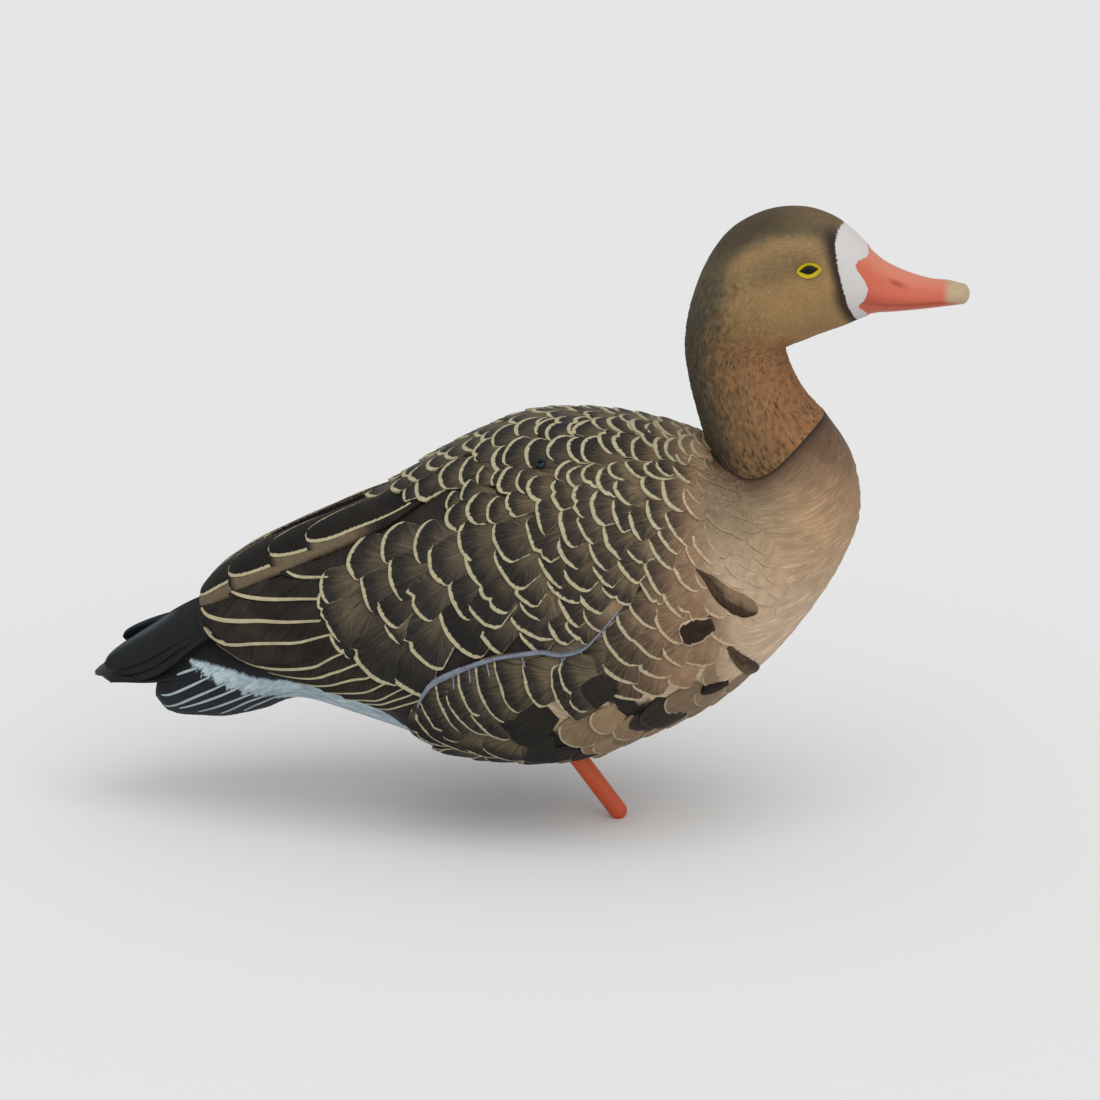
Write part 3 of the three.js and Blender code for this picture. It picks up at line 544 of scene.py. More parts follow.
# Corners of one feather blade. Its outline runs from one root corner round the tip to the other, inner
# lines run from the outline to the shaft, and a wall goes down to a closed underside.
def bladeTemplate(across, inner):
    middle = (across - 1) // 2

    def at(a, b):
        return b * across + (a if b < inner - 1 else min(a, across - 1 - a))
    quads = [[at(a, b), at(a + 1, b), at(a + 1, b + 1), at(a, b + 1)] for a in range(across - 1)
             for b in range(inner - 1)]
    loop = ([at(a, 0) for a in range(across)] + [at(across - 1, b) for b in range(1, inner)]
            + [at(0, b) for b in range(inner - 2, 0, -1)])
    low = (inner - 1) * across + middle + 1 + np.arange(len(loop))
    walls = [[loop[(j + 1) % len(loop)], loop[j], low[j], low[(j + 1) % len(loop)]] for j in range(len(loop))]
    return np.array(quads + walls), low[::-1][None], np.array(loop)


bladeInner = [0, 0.16, 0.52, 1]  # how far in from the outline to the shaft each inner line lies


# Feather blades on a form, many at once. Each: its tip (s, th), width, length and lifts in mm, and its
# turn. The outline is a half ellipse on straight sides; its points are carried to the form by the
# form's own slopes, then raised from the sunken root to the tip, with one side above the other.
def featherBlades(form, spots, colours, relief=None, across=17, seed=1, upper=1.0, hold=None):
    spots = {name: np.asarray(value, float) for name, value in spots.items()}
    count = len(spots["s"])
    rng = np.random.default_rng(seed)
    middle = (across - 1) // 2
    quads, floor, loop = bladeTemplate(across, len(bladeInner))
    a = np.linspace(-1, 1, across)
    turnShare = 0.76
    angle = np.pi / 2 * np.minimum(np.abs(a) / turnShare, 1)
    side = np.clip((np.abs(a) - turnShare) / (1 - turnShare), 0, 1)
    half = spots["width"][:, None] / 2
    length = spots["length"][:, None]
    tipDepth = np.minimum(spots["roundness"][:, None] * half, 0.75 * length)
    uneven = rng.normal(0, 1, (count, across))
    uneven = (uneven + np.roll(uneven, 1, 1) + np.roll(uneven, -1, 1)) / 3
    x = np.sign(a) * half * np.sin(angle) * (1 - 0.35 * side ** 1.5) * (1 + 0.035 * uneven)
    even = (length - tipDepth * (1 - np.cos(angle))) * (1 - side)
    y = even + 0.035 * half * uneven * (1 - side)
    notch = rng.uniform(0, 1, count) < 0.3
    place = rng.integers(2, across - 2, count)
    y[np.arange(count), place] -= notch * half[:, 0] * 0.16
    shaftY = 0.8 * even[:, :middle + 1]
    shaftY[:, middle] = even[:, middle] - np.minimum(0.2 * length[:, 0], half[:, 0])
    along = np.hypot(np.diff(x, axis=1), np.diff(y, axis=1))
    edge = np.concatenate([np.zeros((count, 1)), np.cumsum(along, 1)], 1)
    edge = np.abs(edge - edge[:, middle:middle + 1])
    mirror = np.minimum(np.arange(across), across - 1 - np.arange(across))
    shaftX, shaftFull = np.zeros_like(x), shaftY[:, mirror]
    reach = np.hypot(x - shaftX, y - shaftFull)
    layersX = [x * (1 - b) for b in bladeInner[:-1]] + [np.zeros((count, middle + 1))]
    layersY = [y * (1 - b) + shaftFull * b for b in bladeInner[:-1]] + [shaftY]
    layersU = [edge] * (len(bladeInner) - 1) + [edge[:, :middle + 1]]
    layersV = [reach * b for b in bladeInner[:-1]] + [reach[:, :middle + 1]]
    X, Y, U, V = (np.concatenate(layer, 1) for layer in (layersX, layersY, layersU, layersV))
    A = np.concatenate([np.tile(a, len(bladeInner) - 1), a[:middle + 1]])
    B = np.concatenate([np.full(across, b) for b in bladeInner[:-1]] + [np.full(middle + 1, 1.0)])
    # the wall's lower loop repeats the boundary
    X, Y, U, V = (np.concatenate([layer, layer[:, loop]], 1) for layer in (X, Y, U, V))
    A, B = np.concatenate([A, A[loop]]), np.concatenate([B, B[loop]])
    isLow = np.arange(X.shape[1]) >= X.shape[1] - len(loop)
    V = np.where(isLow, 4.0, V)  # the wall has no fringe
    t = np.clip(Y / length, 0, 1)
    root, tip = spots["root"][:, None], spots["tip"][:, None]
    lift = root + (tip - root) * t ** 1.15 + 0.05 * half * (1 - (X / half) ** 2) * t
    lift = lift + upper * 0.035 * half * (X / half) * t
    lift = lift - 0.22 * (B < 0.05) * t + 0.12 * np.sin(0.9 * U) * (B > 0.05) * (B < 0.9) * t
    lift = np.where(isLow, -1.9, lift)
    # to the form: the step from the tip, turned, is solved for its s and th by the surface's own slopes
    alongS, alongTh, normal = formSlopes(form, spots["s"], spots["th"])
    rear = alongS / np.linalg.norm(alongS, axis=-1, keepdims=True)
    over = np.cross(normal, rear) * np.sign(np.einsum("ij,ij->i", np.cross(normal, rear), alongTh))[:, None]
    cos, sin = np.cos(spots["turn"])[:, None], np.sin(spots["turn"])[:, None]
    point, aside = rear * cos + over * sin, over * cos - rear * sin
    step = (X[..., None] * aside[:, None] + (Y - length)[..., None] * point[:, None]) * mm
    stepS, stepTh = surfaceSteps(step, alongS, alongTh)
    S = np.clip(spots["s"][:, None] + stepS, 0.002, 0.9995)
    TH = spots["th"][:, None] + stepTh
    if hold is not None:
        TH = hold(S, TH)
    if relief is not None:
        lift = lift + relief(S, TH)
    points = lifted(form, S, TH, lift * mm)
    number = rng.uniform(0, 1, count)
    # barbs fan out from a point on the shaft behind the tip, and run along the shaft farther back
    ahead = Y - length + 1.4 * half
    U = np.arctan2(X, (ahead + np.hypot(ahead, 0.7 * half)) / 2) * half * 1.3
    vane, fringe, rimWidth = colours(spots, S, TH, t, X / half, B, rng)
    lean = rng.normal(0, 0.07, (count, 1))
    taper = 1 - 0.97 * smooth(np.abs(A[None] + lean), 0.4, 0.84)
    rim = rimWidth * taper * (1 + 0.3 * (number[:, None] - 0.5))
    barb = np.stack([U + 61 * number[:, None], V, np.broadcast_to(number[:, None] * 40, U.shape)], -1)
    start = np.arange(count)[:, None, None] * X.shape[1]
    faces = [(quads[None] + start).reshape(-1, 4), (floor[None] + start).reshape(-1, floor.shape[1])]
    return points.reshape(-1, 3), faces, {"barb": barb.reshape(-1, 3), "vane": vane.reshape(-1, 3),
                                          "fringe": fringe.reshape(-1, 3), "rim": rim.reshape(-1)}


# The photograph's camera: degrees round and up, mm a pixel, its distance and aim in mm, and the pixel
# where the peg's foot shows.
photo = {
    "round": 7.0, "up": 14.0, "pixel": 0.7, "distance": 3000.0, "aim": [-50.0, 0.0, 215.0],
    "foot": [618.0, 817.0],
    "shortest": 0.14,  # least height of a fringe's arc, as a share of its width
    "before": 4.0,  # pixels from the tip that give its turn
    "smallStep": 0.01,  # most that s and th move at a time
    "flattest": 2e3,  # pixels squared; below it the form is seen too nearly edge on to go on
}
photoTurn, photoTilt = np.radians(photo["round"]), np.radians(photo["up"])
photoBack = np.array([np.sin(photoTurn) * np.cos(photoTilt), -np.cos(photoTurn) * np.cos(photoTilt),
                      np.sin(photoTilt)])
photoRight = np.array([np.cos(photoTurn), np.sin(photoTurn), 0.0])
photoUp = np.cross(photoBack, photoRight)


# Pixels of points in mm, by perspective: across and down from the aim, both times the distance over how
# far away the point is.
def seenFromAim(points):
    off = points - photo["aim"]
    scale = photo["distance"] / (photo["distance"] - off @ photoBack) / photo["pixel"]
    return np.stack([off @ photoRight * scale, -(off @ photoUp) * scale], -1)


def pixels(points):
    return seenFromAim(points) + photo["foot"] - seenFromAim(np.zeros(3))


# Where a pixel lies on the near side of a form: the nearest point of a fine grid, then Newton steps on
# the pixel's slopes along s and th, each step kept small.
def formGrid(form):
    s, th = np.meshgrid(np.linspace(0, 1, 501), np.linspace(-0.6, np.pi + 0.2, 401), indexing="ij")
    near = formSlopes(form, s, th)[2] @ photoBack > 0
    return s, th, pixels(formPoint(form, s, th) / mm), near


def photoPlace(form, grid, pixel, step=1e-3):
    gridS, gridTh, seen, near = grid
    place = np.argmin(np.where(near, ((seen - pixel) ** 2).sum(-1), np.inf))
    s, th = gridS.flat[place], gridTh.flat[place]

    def at(s, th):
        return pixels(formPoint(form, s, th) / mm)
    for _ in range(3):
        high, low = min(s + step, 1), max(s - step, 0)
        slopes = np.stack([(at(high, th) - at(low, th)) / (high - low),
                           (at(s, th + step) - at(s, th - step)) / (2 * step)], 1)
        if abs(np.linalg.det(slopes)) < photo["flattest"]:
            break
        ds, dth = np.clip(np.linalg.solve(slopes, pixel - at(s, th)), -photo["smallStep"], photo["smallStep"])
        s, th = np.clip(s + ds, 0, 1), th + dth
    return s, th


# Feathers from marked fringes. The tip lies square to the line between the ends, as far off as the middle
# mark. The width is the ends' distance on the form, the depth keeps the mark's share of it, and the turn
# is the way from a few pixels before the tip to the tip, against the form's own s. Values are rounded to
# what the eye could read off, and the widest and deepest cut what foreshortening stretches.
def markedFeathers(form, fringes, widest, deepest, turns):
    grid = formGrid(form)
    found = []
    for fringe in np.reshape(np.array(fringes, float), (-1, 3, 2)):
        first, middle, last = fringe
        half, chord = (first + last) / 2, last - first
        span = np.hypot(*chord)
        square = np.array([chord[1], -chord[0]]) / span
        square *= -1 if square @ (middle - half) < 0 else 1
        rise = max(square @ (middle - half), photo["shortest"] * span)
        tip = half + square * rise
        s, th = photoPlace(form, grid, tip)
        ends = [formPoint(form, *photoPlace(form, grid, end)) for end in (first, last)]
        width = np.linalg.norm(ends[0] - ends[1]) / mm
        alongS, alongTh, normal = (v[0] for v in formSlopes(form, np.array([s]), np.array([th])))
        rear = alongS / np.linalg.norm(alongS)
        over = np.cross(normal, rear)
        over *= np.sign(over @ alongTh)
        way = formPoint(form, s, th) - formPoint(form,
                                                 *photoPlace(form, grid, tip - square * photo["before"]))
        turn = np.clip(round(float(np.arctan2(way @ over, way @ rear)), 2), *turns)
        found.append([round(float(s), 3), round(float(th), 3), min(round(float(width), 1), widest),
                      min(round(float(rise / span * width), 1), deepest), float(turn)])
    return found


# Rows of feathers: the s of each row at one angle, their spacing growing from first to last (mm).
def rowPlaces(form, th, fromS, toS, first, last):
    s = np.linspace(fromS, toS, 600)
    steps = np.linalg.norm(np.diff(formPoint(form, s, th), axis=0), axis=1) / mm
    travelled = np.concatenate([[0], np.cumsum(steps)])
    spacing = first + (last - first) * travelled / travelled[-1]
    passed = np.concatenate([[0], np.cumsum(steps / spacing[1:])])
    wanted = np.arange(0, passed[-1] + 1e-6)
    return np.interp(wanted, passed, s), np.interp(wanted, passed, spacing)


def gathered(rows):
    return {name: np.concatenate([row[name] for row in rows]) for name in rows[0]}


wing = {
    "dark": "#1d1a16", "inner": "#5a4f3d", "brown": "#43372b", "brownInner": "#8f7659",
    "tan": "#876b51", "tanInner": "#9d8064", "cream": "#b4ab8a", "tanFringe": "#bda586",
    "rimWidth": 2.65, "overlap": 1.75,
}
# The fringes of one wing, marked on the photograph, each in pixels: one end, its middle and the
# other end.
wingFringes = [
    (365, 536, 349, 565, 360, 577), (323, 574, 320, 585, 331, 602), (321, 593, 317, 602, 329, 620),
    (326, 620, 333, 633, 342, 640), (331, 634, 341, 652, 353, 656), (342, 652, 361, 669, 396, 673),
    (385, 674, 404, 685, 430, 690), (400, 523, 383, 545, 391, 563), (393, 555, 391, 580, 405, 598),
    (408, 571, 405, 592, 432, 618), (361, 577, 366, 595, 375, 610), (375, 592, 379, 612, 398, 627),
    (386, 627, 392, 637, 401, 643), (401, 633, 409, 651, 442, 666), (429, 521, 416, 540, 425, 562),
    (433, 543, 430, 568, 449, 583), (453, 577, 451, 600, 470, 619), (438, 604, 442, 630, 485, 658),
    (465, 593, 471, 613, 500, 627), (480, 627, 484, 641, 501, 653), (455, 493, 446, 502, 449, 510),
    (459, 500, 447, 517, 458, 531), (474, 485, 464, 489, 459, 502), (479, 493, 467, 508, 479, 523),
    (467, 521, 459, 538, 475, 559), (464, 558, 471, 573, 485, 587), (480, 584, 484, 600, 507, 612),
    (512, 620, 527, 635, 553, 638), (521, 634, 532, 646, 545, 655), (498, 498, 488, 510, 495, 524),
    (496, 524, 494, 541, 513, 561), (497, 552, 498, 570, 524, 588), (513, 587, 519, 599, 537, 607),
    (521, 604, 527, 614, 540, 620), (511, 494, 506, 504, 517, 517), (527, 522, 528, 540, 550, 561),
    (540, 559, 547, 576, 562, 588), (549, 584, 558, 597, 579, 602), (560, 600, 563, 614, 577, 628),
    (568, 626, 574, 638, 586, 644), (550, 623, 554, 637, 568, 647), (539, 500, 537, 516, 546, 534),
    (563, 511, 560, 530, 573, 547), (559, 538, 560, 556, 577, 569), (564, 565, 569, 583, 588, 591),
    (578, 592, 585, 606, 600, 614), (586, 614, 591, 627, 603, 632), (554, 482, 551, 496, 562, 511),
    (582, 482, 572, 497, 583, 517), (578, 518, 582, 535, 592, 545), (590, 545, 595, 560, 606, 571),
    (594, 568, 601, 581, 612, 588), (604, 589, 613, 601, 630, 604), (598, 492, 590, 507, 602, 526),
    (604, 528, 607, 546, 620, 560), (618, 561, 623, 575, 637, 584), (614, 503, 613, 518, 622, 533),
    (618, 481, 614, 494, 628, 507), (629, 508, 629, 524, 640, 541), (519, 472, 516, 485, 525, 494),
    (537, 476, 527, 489, 540, 502), (508, 467, 499, 481, 505, 493), (500, 470, 492, 479, 494, 486),
    (571, 463, 555, 472, 556, 481), (579, 466, 566, 478, 575, 489), (593, 463, 581, 474, 595, 489),
    (603, 469, 596, 484, 612, 498), (616, 462, 607, 471, 620, 482), (628, 462, 627, 471, 639, 481),
    (482, 468, 478, 477, 481, 484), (656, 461, 643, 470, 658, 482), (660, 463, 657, 471, 665, 479),
    (649, 473, 641, 486, 655, 502), (666, 481, 661, 496, 676, 515), (676, 468, 679, 479, 686, 488),
    (687, 488, 683, 504, 695, 522), (649, 502, 646, 516, 657, 531), (657, 531, 665, 546, 676, 555),
    (666, 514, 671, 533, 686, 548), (686, 548, 690, 560, 697, 568), (650, 541, 657, 559, 672, 571),
    (676, 559, 674, 574, 697, 591), (693, 569, 698, 581, 705, 590), (627, 551, 635, 561, 645, 566),
    (645, 564, 653, 580, 664, 597), (641, 583, 649, 596, 659, 606), (672, 588, 677, 603, 688, 616),
    (683, 520, 692, 542, 714, 566), (702, 525, 709, 546, 725, 560), (703, 506, 712, 525, 730, 536),
    (689, 490, 691, 500, 697, 507), (630, 604, 637, 619, 655, 629), (660, 607, 659, 630, 681, 644),
    (661, 587, 668, 605, 682, 618), (672, 591, 680, 610, 702, 621), (699, 597, 704, 610, 722, 619),
    (704, 620, 712, 637, 732, 648), (684, 653, 695, 665, 711, 667), (707, 670, 720, 681, 739, 668),
    (662, 643, 667, 659, 679, 667), (671, 678, 677, 687, 686, 689), (634, 632, 640, 649, 660, 659),
    (618, 617, 621, 632, 634, 641), (607, 631, 611, 652, 636, 666), (638, 658, 646, 674, 668, 678),
    (599, 649, 606, 672, 633, 685), (634, 677, 641, 692, 657, 698), (585, 650, 590, 672, 603, 684),
    (605, 679, 612, 693, 635, 702),
]
wingPlaces = markedFeathers(torso, wingFringes, widest=42, deepest=99, turns=(-0.7, 1.0))


# Placed feathers as blades: their length grows with their width, and small ones lie on top.
def placed(places, overlap, rim, lift, rng):
    s, th, width, depth, turn = np.array(places, float).T
    small = 1 - smooth(width, 14, 24)
    return {"s": s, "th": th, "width": width * 1.1, "length": np.maximum(overlap * width, depth * 2.2 + 8),
            "turn": turn,
            "root": np.full(len(s), -0.7), "tip": lift + 0.7 * small + rng.normal(0, 0.18, len(s)),
            "roundness": 2.1 * depth / width, "rim": rim * (0.62 + 0.38 * smooth(width, 10, 24))}


# Whole feathers take the colour of the patch that their middle lies in.
def patched(spots, vane, fringe):
    for cover, patch in zip(patchCover(spots["s"] - 0.013, spots["th"]), patches):
        share = smooth(cover, 0.3, 0.6)[:, None]
        vane, fringe = mix(vane, patch[5], 0.93 * share), mix(fringe, patch[5], 0.9 * share)
    return vane, fringe


# Feather colours by place: dark near each tip and lighter with barbs toward the root; toward the breast
# both turn brown and then tan, and the fringe loses contrast.
def wingColours(spots, s, th, t, x, b, rng):
    around = fromTop(th)
    start = np.interp(around, breastAngles, breastStart)
    tone = rng.normal(0, 1, (len(spots["s"]), 1))
    pale = np.clip(1 - (s - start) / (0.16 + 0.1 * smooth(around, 1.2, 1.8)), 0, 1) * smooth(around, 0.5, 1.0)
    pale = np.maximum(pale, smooth(around, 1.7, 2.2) * (1 - smooth(s, 0.4, 0.48)))
    brown = np.maximum(smooth(pale, 0.0, 0.4), 0.45 * (1 - smooth(s, 0.36, 0.56)))
    tan = smooth(pale, 0.35, 0.85)
    nearTip = smooth(t, 0.52, 0.84)
    dark = mix(mix(wing["dark"], wing["brown"], brown), wing["tan"], tan)
    inner = mix(mix(wing["inner"], wing["brownInner"], brown), wing["tanInner"], tan)
    vane = mix(inner, dark, 1 - (1 - nearTip) * (1 - 0.45 * np.abs(x)))
    vane = vane * np.exp(0.17 * tone * (1 - 0.7 * tan))[..., None]
    fringe = mix(np.broadcast_to(linear(wing["cream"]), vane.shape), wing["tanFringe"], tan)
    # the first ones pass into the breast's own coat
    into = 1 - smooth(s - start, -0.02, 0.05)
    coat = breastCoat(s, th)
    vane = vane + (coat - vane) * 0.85 * into[..., None]
    fringe = fringe + (1.12 * coat - fringe) * 0.85 * into[..., None]
    rim = spots["rim"][:, None] * (1 - 0.35 * tan)
    vane, fringe = patched(spots, vane, fringe)
    return vane, fringe, rim


def bothSides(name, body, finish=featherPaint):
    makePiece(name + "Right", *body[:2], finish, "plumage", "body", body[2])
    body = mirrored(body)
    makePiece(name + "Left", *body[:2], finish, "plumage", "body", body[2])


# Shallow feathers in rows ahead of the first placed ones, where the breast passes into the wing.
def breastFeathers(rng):
    found = []
    for row, offset in enumerate((-0.07, -0.042, -0.015, 0.012)):
        th = np.arange(0.66, 2.3, 0.155) + 0.078 * (row % 2)
        s = np.interp(th, breastAngles, breastStart) + offset + rng.normal(0, 0.004, len(th))
        th, s = th[s > 0.05], s[s > 0.05]
        count = len(s)
        found.append({"s": s, "th": th + rng.normal(0, 0.02, count), "width": rng.uniform(20, 27, count),
                      "length": np.full(count, 24.0), "turn": rng.normal(0.12, 0.12, count),
                      "root": np.full(count, -0.7),
                      "tip": np.full(count, 0.6), "roundness": rng.uniform(0.4, 0.6, count),
                      "rim": np.full(count, 1.6)})
    return gathered(found)


def makeWings():
    spots = placed(wingPlaces, wing["overlap"], wing["rimWidth"], 1.7, np.random.default_rng(11))
    start = np.interp(spots["th"], breastAngles, breastStart)
    front = 1 - smooth(spots["s"] - start, 0.0, 0.12)
    spots["tip"] = spots["tip"] - 0.9 * front
    body = featherBlades(torso, spots, wingColours, torsoRelief, seed=21)
    ahead = breastFeathers(np.random.default_rng(12))
    bothSides("wingFeathers", joined([body, featherBlades(torso, ahead, wingColours, seed=22)]))


makeWings()

# Dark marks over the breast's rear edge: a smear, one dark feather, a bar and a spot. Each: its path as
# s and th, its half widths in mm along it, its colours from the first end to the other, the painted highlight
# colour of its upper side, its lift in mm and its fringe.
marks = {
    # the colour of the painted shade in the marks' crease and lower edge
    "crease": "#1f1712",
    "smears": [
        ([[0.292, 2.2], [0.294, 2.13], [0.295, 2.041], [0.296, 1.903], [0.291, 1.755], [0.29, 1.676],
          [0.29, 1.6]],
         [4.4, 6.8, 7.6, 6.4, 4.2, 2.2, 0.5], "#382b20", "#493929", "#806a53", 1.9, 0),
        ([[0.376, 1.94], [0.358, 1.97], [0.336, 2.01]], [8.2, 9.6, 5.4], "#2a2119", "#33281e", "#2a2119", 3.2,
         1.6),
        ([[0.363, 2.84], [0.359, 2.62], [0.354, 2.405], [0.348, 2.25]], [4.0, 5.4, 4.0, 1.6], "#33281e",
         "#57442f",
         "#5b4834", 1.9, 0),
        ([[0.406, 2.44], [0.396, 2.52], [0.385, 2.57]], [5.5, 6.2, 4.0], "#1a1511", "#2b221a", "#1a1511", 2.3,
         0),
    ],
}


def makeMarks():
    bodies = []
    for path, half, fromColour, toColour, litUpperColour, high, rim in marks["smears"]:
        def halfAlong(t, half=half):
            return readLine(half, t) * (1 + 0.07 * softNoise(t * 22, t + half[1], 34))

        # painted highlight on the upper side near the tip; painted shade in a dark crease along the middle
        # from the root and along the lower edge
        def colours(s, th, t, v, ends=(fromColour, toColour), litUpperColour=litUpperColour):
            worn = 0.3 * softNoise(t * 12, v * 2, 35)
            vane = mix(*ends, smooth(t + worn, 0.1, 0.9))
            vane = mix(vane, litUpperColour, smooth(worn - v, -0.25, 0.35) * (1 - smooth(t, 0.45, 0.8)))
            crease = np.exp(-((v + 0.05 + worn) / 0.16) ** 2) * smooth(t, 0.2, 0.4) + 0.6 * smooth(v, 0.55, 1)
            return mix(vane, marks["crease"], 0.75 * np.clip(crease, 0, 1)), linear(wing["tanFringe"])
        bodies.append(vaneAlong(torso, path, halfAlong, lambda t, v, high=high: high - 0.6 * v ** 4, colours,
                                rows=40,
                                tipShare=0.22, rimWidth=rim, across=13, relief=torsoRelief))
    bothSides("breastMarks", joined(bodies), vanePaint)


back = {"spine": (0.035, 0.7), "spacing": (11, 16), "width": 19, "rimWidth": 2.8, "rise": 2.4}
# the back's fringes, marked in the same way
backFringes = [
    (452, 456, 443, 475, 456, 489), (466, 453, 462, 469, 470, 484), (488, 437, 477, 450, 485, 463),
    (506, 425, 496, 437, 499, 448), (497, 448, 492, 461, 502, 471), (526, 416, 518, 428, 522, 437),
    (520, 439, 506, 453, 509, 466), (555, 411, 537, 432, 536, 444), (531, 436, 526, 452, 533, 469),
    (560, 421, 548, 432, 553, 441), (565, 429, 549, 449, 554, 466), (575, 420, 568, 429, 573, 437),
    (579, 433, 567, 448, 577, 463), (588, 421, 577, 428, 575, 436), (598, 433, 583, 446, 589, 462),
    (604, 422, 597, 440, 604, 460), (614, 416, 607, 425, 614, 433), (624, 427, 612, 442, 621, 459),
    (636, 416, 629, 426, 634, 439), (640, 436, 631, 447, 634, 459), (661, 421, 655, 429, 660, 435),
    (648, 427, 640, 438, 649, 451), (660, 438, 652, 448, 656, 459), (674, 438, 663, 448, 667, 460),
    (688, 433, 678, 442, 680, 453), (695, 442, 689, 450, 693, 457), (680, 454, 676, 461, 681, 467),
    (692, 457, 688, 461, 686, 466), (404, 481, 407, 492, 411, 497), (412, 478, 415, 490, 427, 503),
]
backPlaces = markedFeathers(torso, backFringes, widest=26, deepest=9, turns=(-0.6, 1.5))


# The back between the parting lines: feathers placed one by one on each side, and a row pair along the
# top line, evenly spaced.
def makeBack():
    rng = np.random.default_rng(13)
    side = placed(backPlaces, 1.6, back["rimWidth"], 1.5, rng)
    right = featherBlades(torso, side, backColours, torsoRelief, seed=23)
    s, spacing = rowPlaces(torso, 0.0, *back["spine"], *back["spacing"])
    count = len(s)
    spine = {"s": s, "th": np.where(np.arange(count) % 2, 0.09, -0.09),
             "width": np.full(count, back["width"] * 1.2),
             "length": 2.6 * spacing, "turn": rng.normal(0, 0.08, count), "root": np.full(count, -0.7),
             "tip": 0.9 + back["rise"] * smooth(s, 0.5, 0.62), "roundness": np.full(count, 0.85),
             "rim": back["rimWidth"] * (0.7 + 0.3 * smooth(s, 0.0, 0.2))}
    line = featherBlades(torso, spine, backColours, torsoRelief, seed=24)
    outer = {name: np.copy(value) for name, value in spine.items()}
    outer["s"] = np.clip(s - 0.5 * np.gradient(s), 0.03, 1)
    outer["th"] = np.full(count, 0.235)
    outer["tip"] = spine["tip"] + 0.2
    kept = s < 0.66
    outer = {name: value[kept] for name, value in outer.items()}
    pair = featherBlades(torso, outer, backColours, torsoRelief, seed=26)
    body = joined([right, mirrored(right), pair, mirrored(pair), line])
    makePiece("backFeathers", *body[:2], featherPaint, "plumage", "body", body[2])


def backColours(spots, s, th, t, x, b, rng):
    tone = rng.normal(0, 1, (len(spots["s"]), 1))
    brown = 1 - smooth(s, 0.1, 0.34)
    nearTip = smooth(t, 0.5, 0.85)
    dark = mix(mix(wing["dark"], wing["brown"], 0.8 * brown), wing["brownInner"], 1 - smooth(s, 0.03, 0.2))
    vane = mix(mix(wing["inner"], wing["brownInner"], brown), dark, 1 - (1 - nearTip) * (1 - 0.4 * np.abs(x)))
    vane = vane * np.exp(0.15 * tone)[..., None]
    return vane, np.broadcast_to(linear(wing["cream"]),
                                 vane.shape) * (1 - 0.12 * brown)[..., None], spots["rim"][:, None]


makeBack()

flank = {
    "rimWidth": 2.0, "dark": "#221d17", "inner": "#605540", "black": "#12100d", "tan": "#8d755a",
    "cream": "#aea587", "bellyRows": (0.4, 0.72), "bellySpacing": (17, 15), "bellyWidth": 26,
}
# the flank's fringes, marked in the same way
flankFringes = [
    (413, 708, 414, 724, 433, 742), (422, 703, 424, 723, 438, 740), (431, 690, 432, 716, 449, 737),
    (444, 682, 443, 703, 458, 728), (443, 723, 449, 737, 468, 750), (457, 683, 455, 705, 482, 732),
    (467, 670, 463, 692, 478, 713), (487, 665, 483, 694, 505, 718), (478, 703, 485, 720, 500, 737),
    (501, 662, 502, 687, 515, 708), (468, 728, 474, 745, 495, 754), (498, 737, 499, 750, 510, 758),
    (505, 707, 510, 726, 520, 745), (530, 662, 527, 684, 540, 702), (557, 668, 557, 695, 572, 716),
    (567, 658, 563, 685, 580, 708), (581, 682, 585, 694, 592, 705), (527, 748, 533, 755, 541, 759),
]
flankPlaces = markedFeathers(torso, flankFringes, widest=99, deepest=99, turns=(-1.5, 1.5))
# six more placed one by one, low on the flank and under it: s, th, width, depth and turn
flankPlaces.insert(16, [0.549, 2.3, 32, 10, 0.4])
flankPlaces += [
    [0.519, 2.26, 23, 8, 0.15], [0.534, 2.6, 26, 8, 0.5], [0.506, 2.5, 25, 7, 0.5],
    [0.548, 2.85, 26, 8, 0.3], [0.472, 2.52, 30, 11, 0.7],
]


def flankColours(spots, s, th, t, x, b, rng):
    around = fromTop(th)
    tone = rng.normal(0, 1, (len(spots["s"]), 1))
    nearTip = smooth(t, 0.5, 0.85)
    low = smooth(around, 2.1, 2.6)
    black = np.maximum(smooth(s, 0.65, 0.69) * smooth(around, 1.8, 2.1), 0.5 * low * smooth(s, 0.55, 0.6))
    vane = mix(mix(flank["inner"], flank["dark"], 0.6 * low), flank["dark"],
               1 - (1 - nearTip) * (1 - 0.3 * np.abs(x)))
    tipTh = fromTop(spots["th"])
    beneath = smooth(tipTh, 2.7, 2.75) * (1 - smooth(spots["s"], 0.58, 0.6))
    tan = smooth(tipTh, 2.0, 2.2) * (1 - smooth(spots["s"], 0.552, 0.56)) + beneath
    tan = np.clip(tan, 0, 1)[:, None] + 0 * t
    black = black * (1 - tan)
    vane = mix(mix(vane, flank["tan"], 0.8 * tan), flank["black"], black) * np.exp(0.14 * tone)[..., None]
    fringe = np.broadcast_to(linear(flank["cream"]), vane.shape) * (1 - 0.15 * low)[..., None]
    vane, fringe = patched(spots, vane, fringe)
    return vane, fringe, spots["rim"][:, None] * (1 - 0.25 * tan)


# Flank feathers stay under the ridge: above it their angles are pressed together.
def belowRidge(s, th):
    line = np.interp(s, flankLineS, flankLineTh) - 0.03
    return np.where(th < line + 0.05, line + 0.05 * np.exp(np.minimum(th - line - 0.05, 0) / 0.05), th)


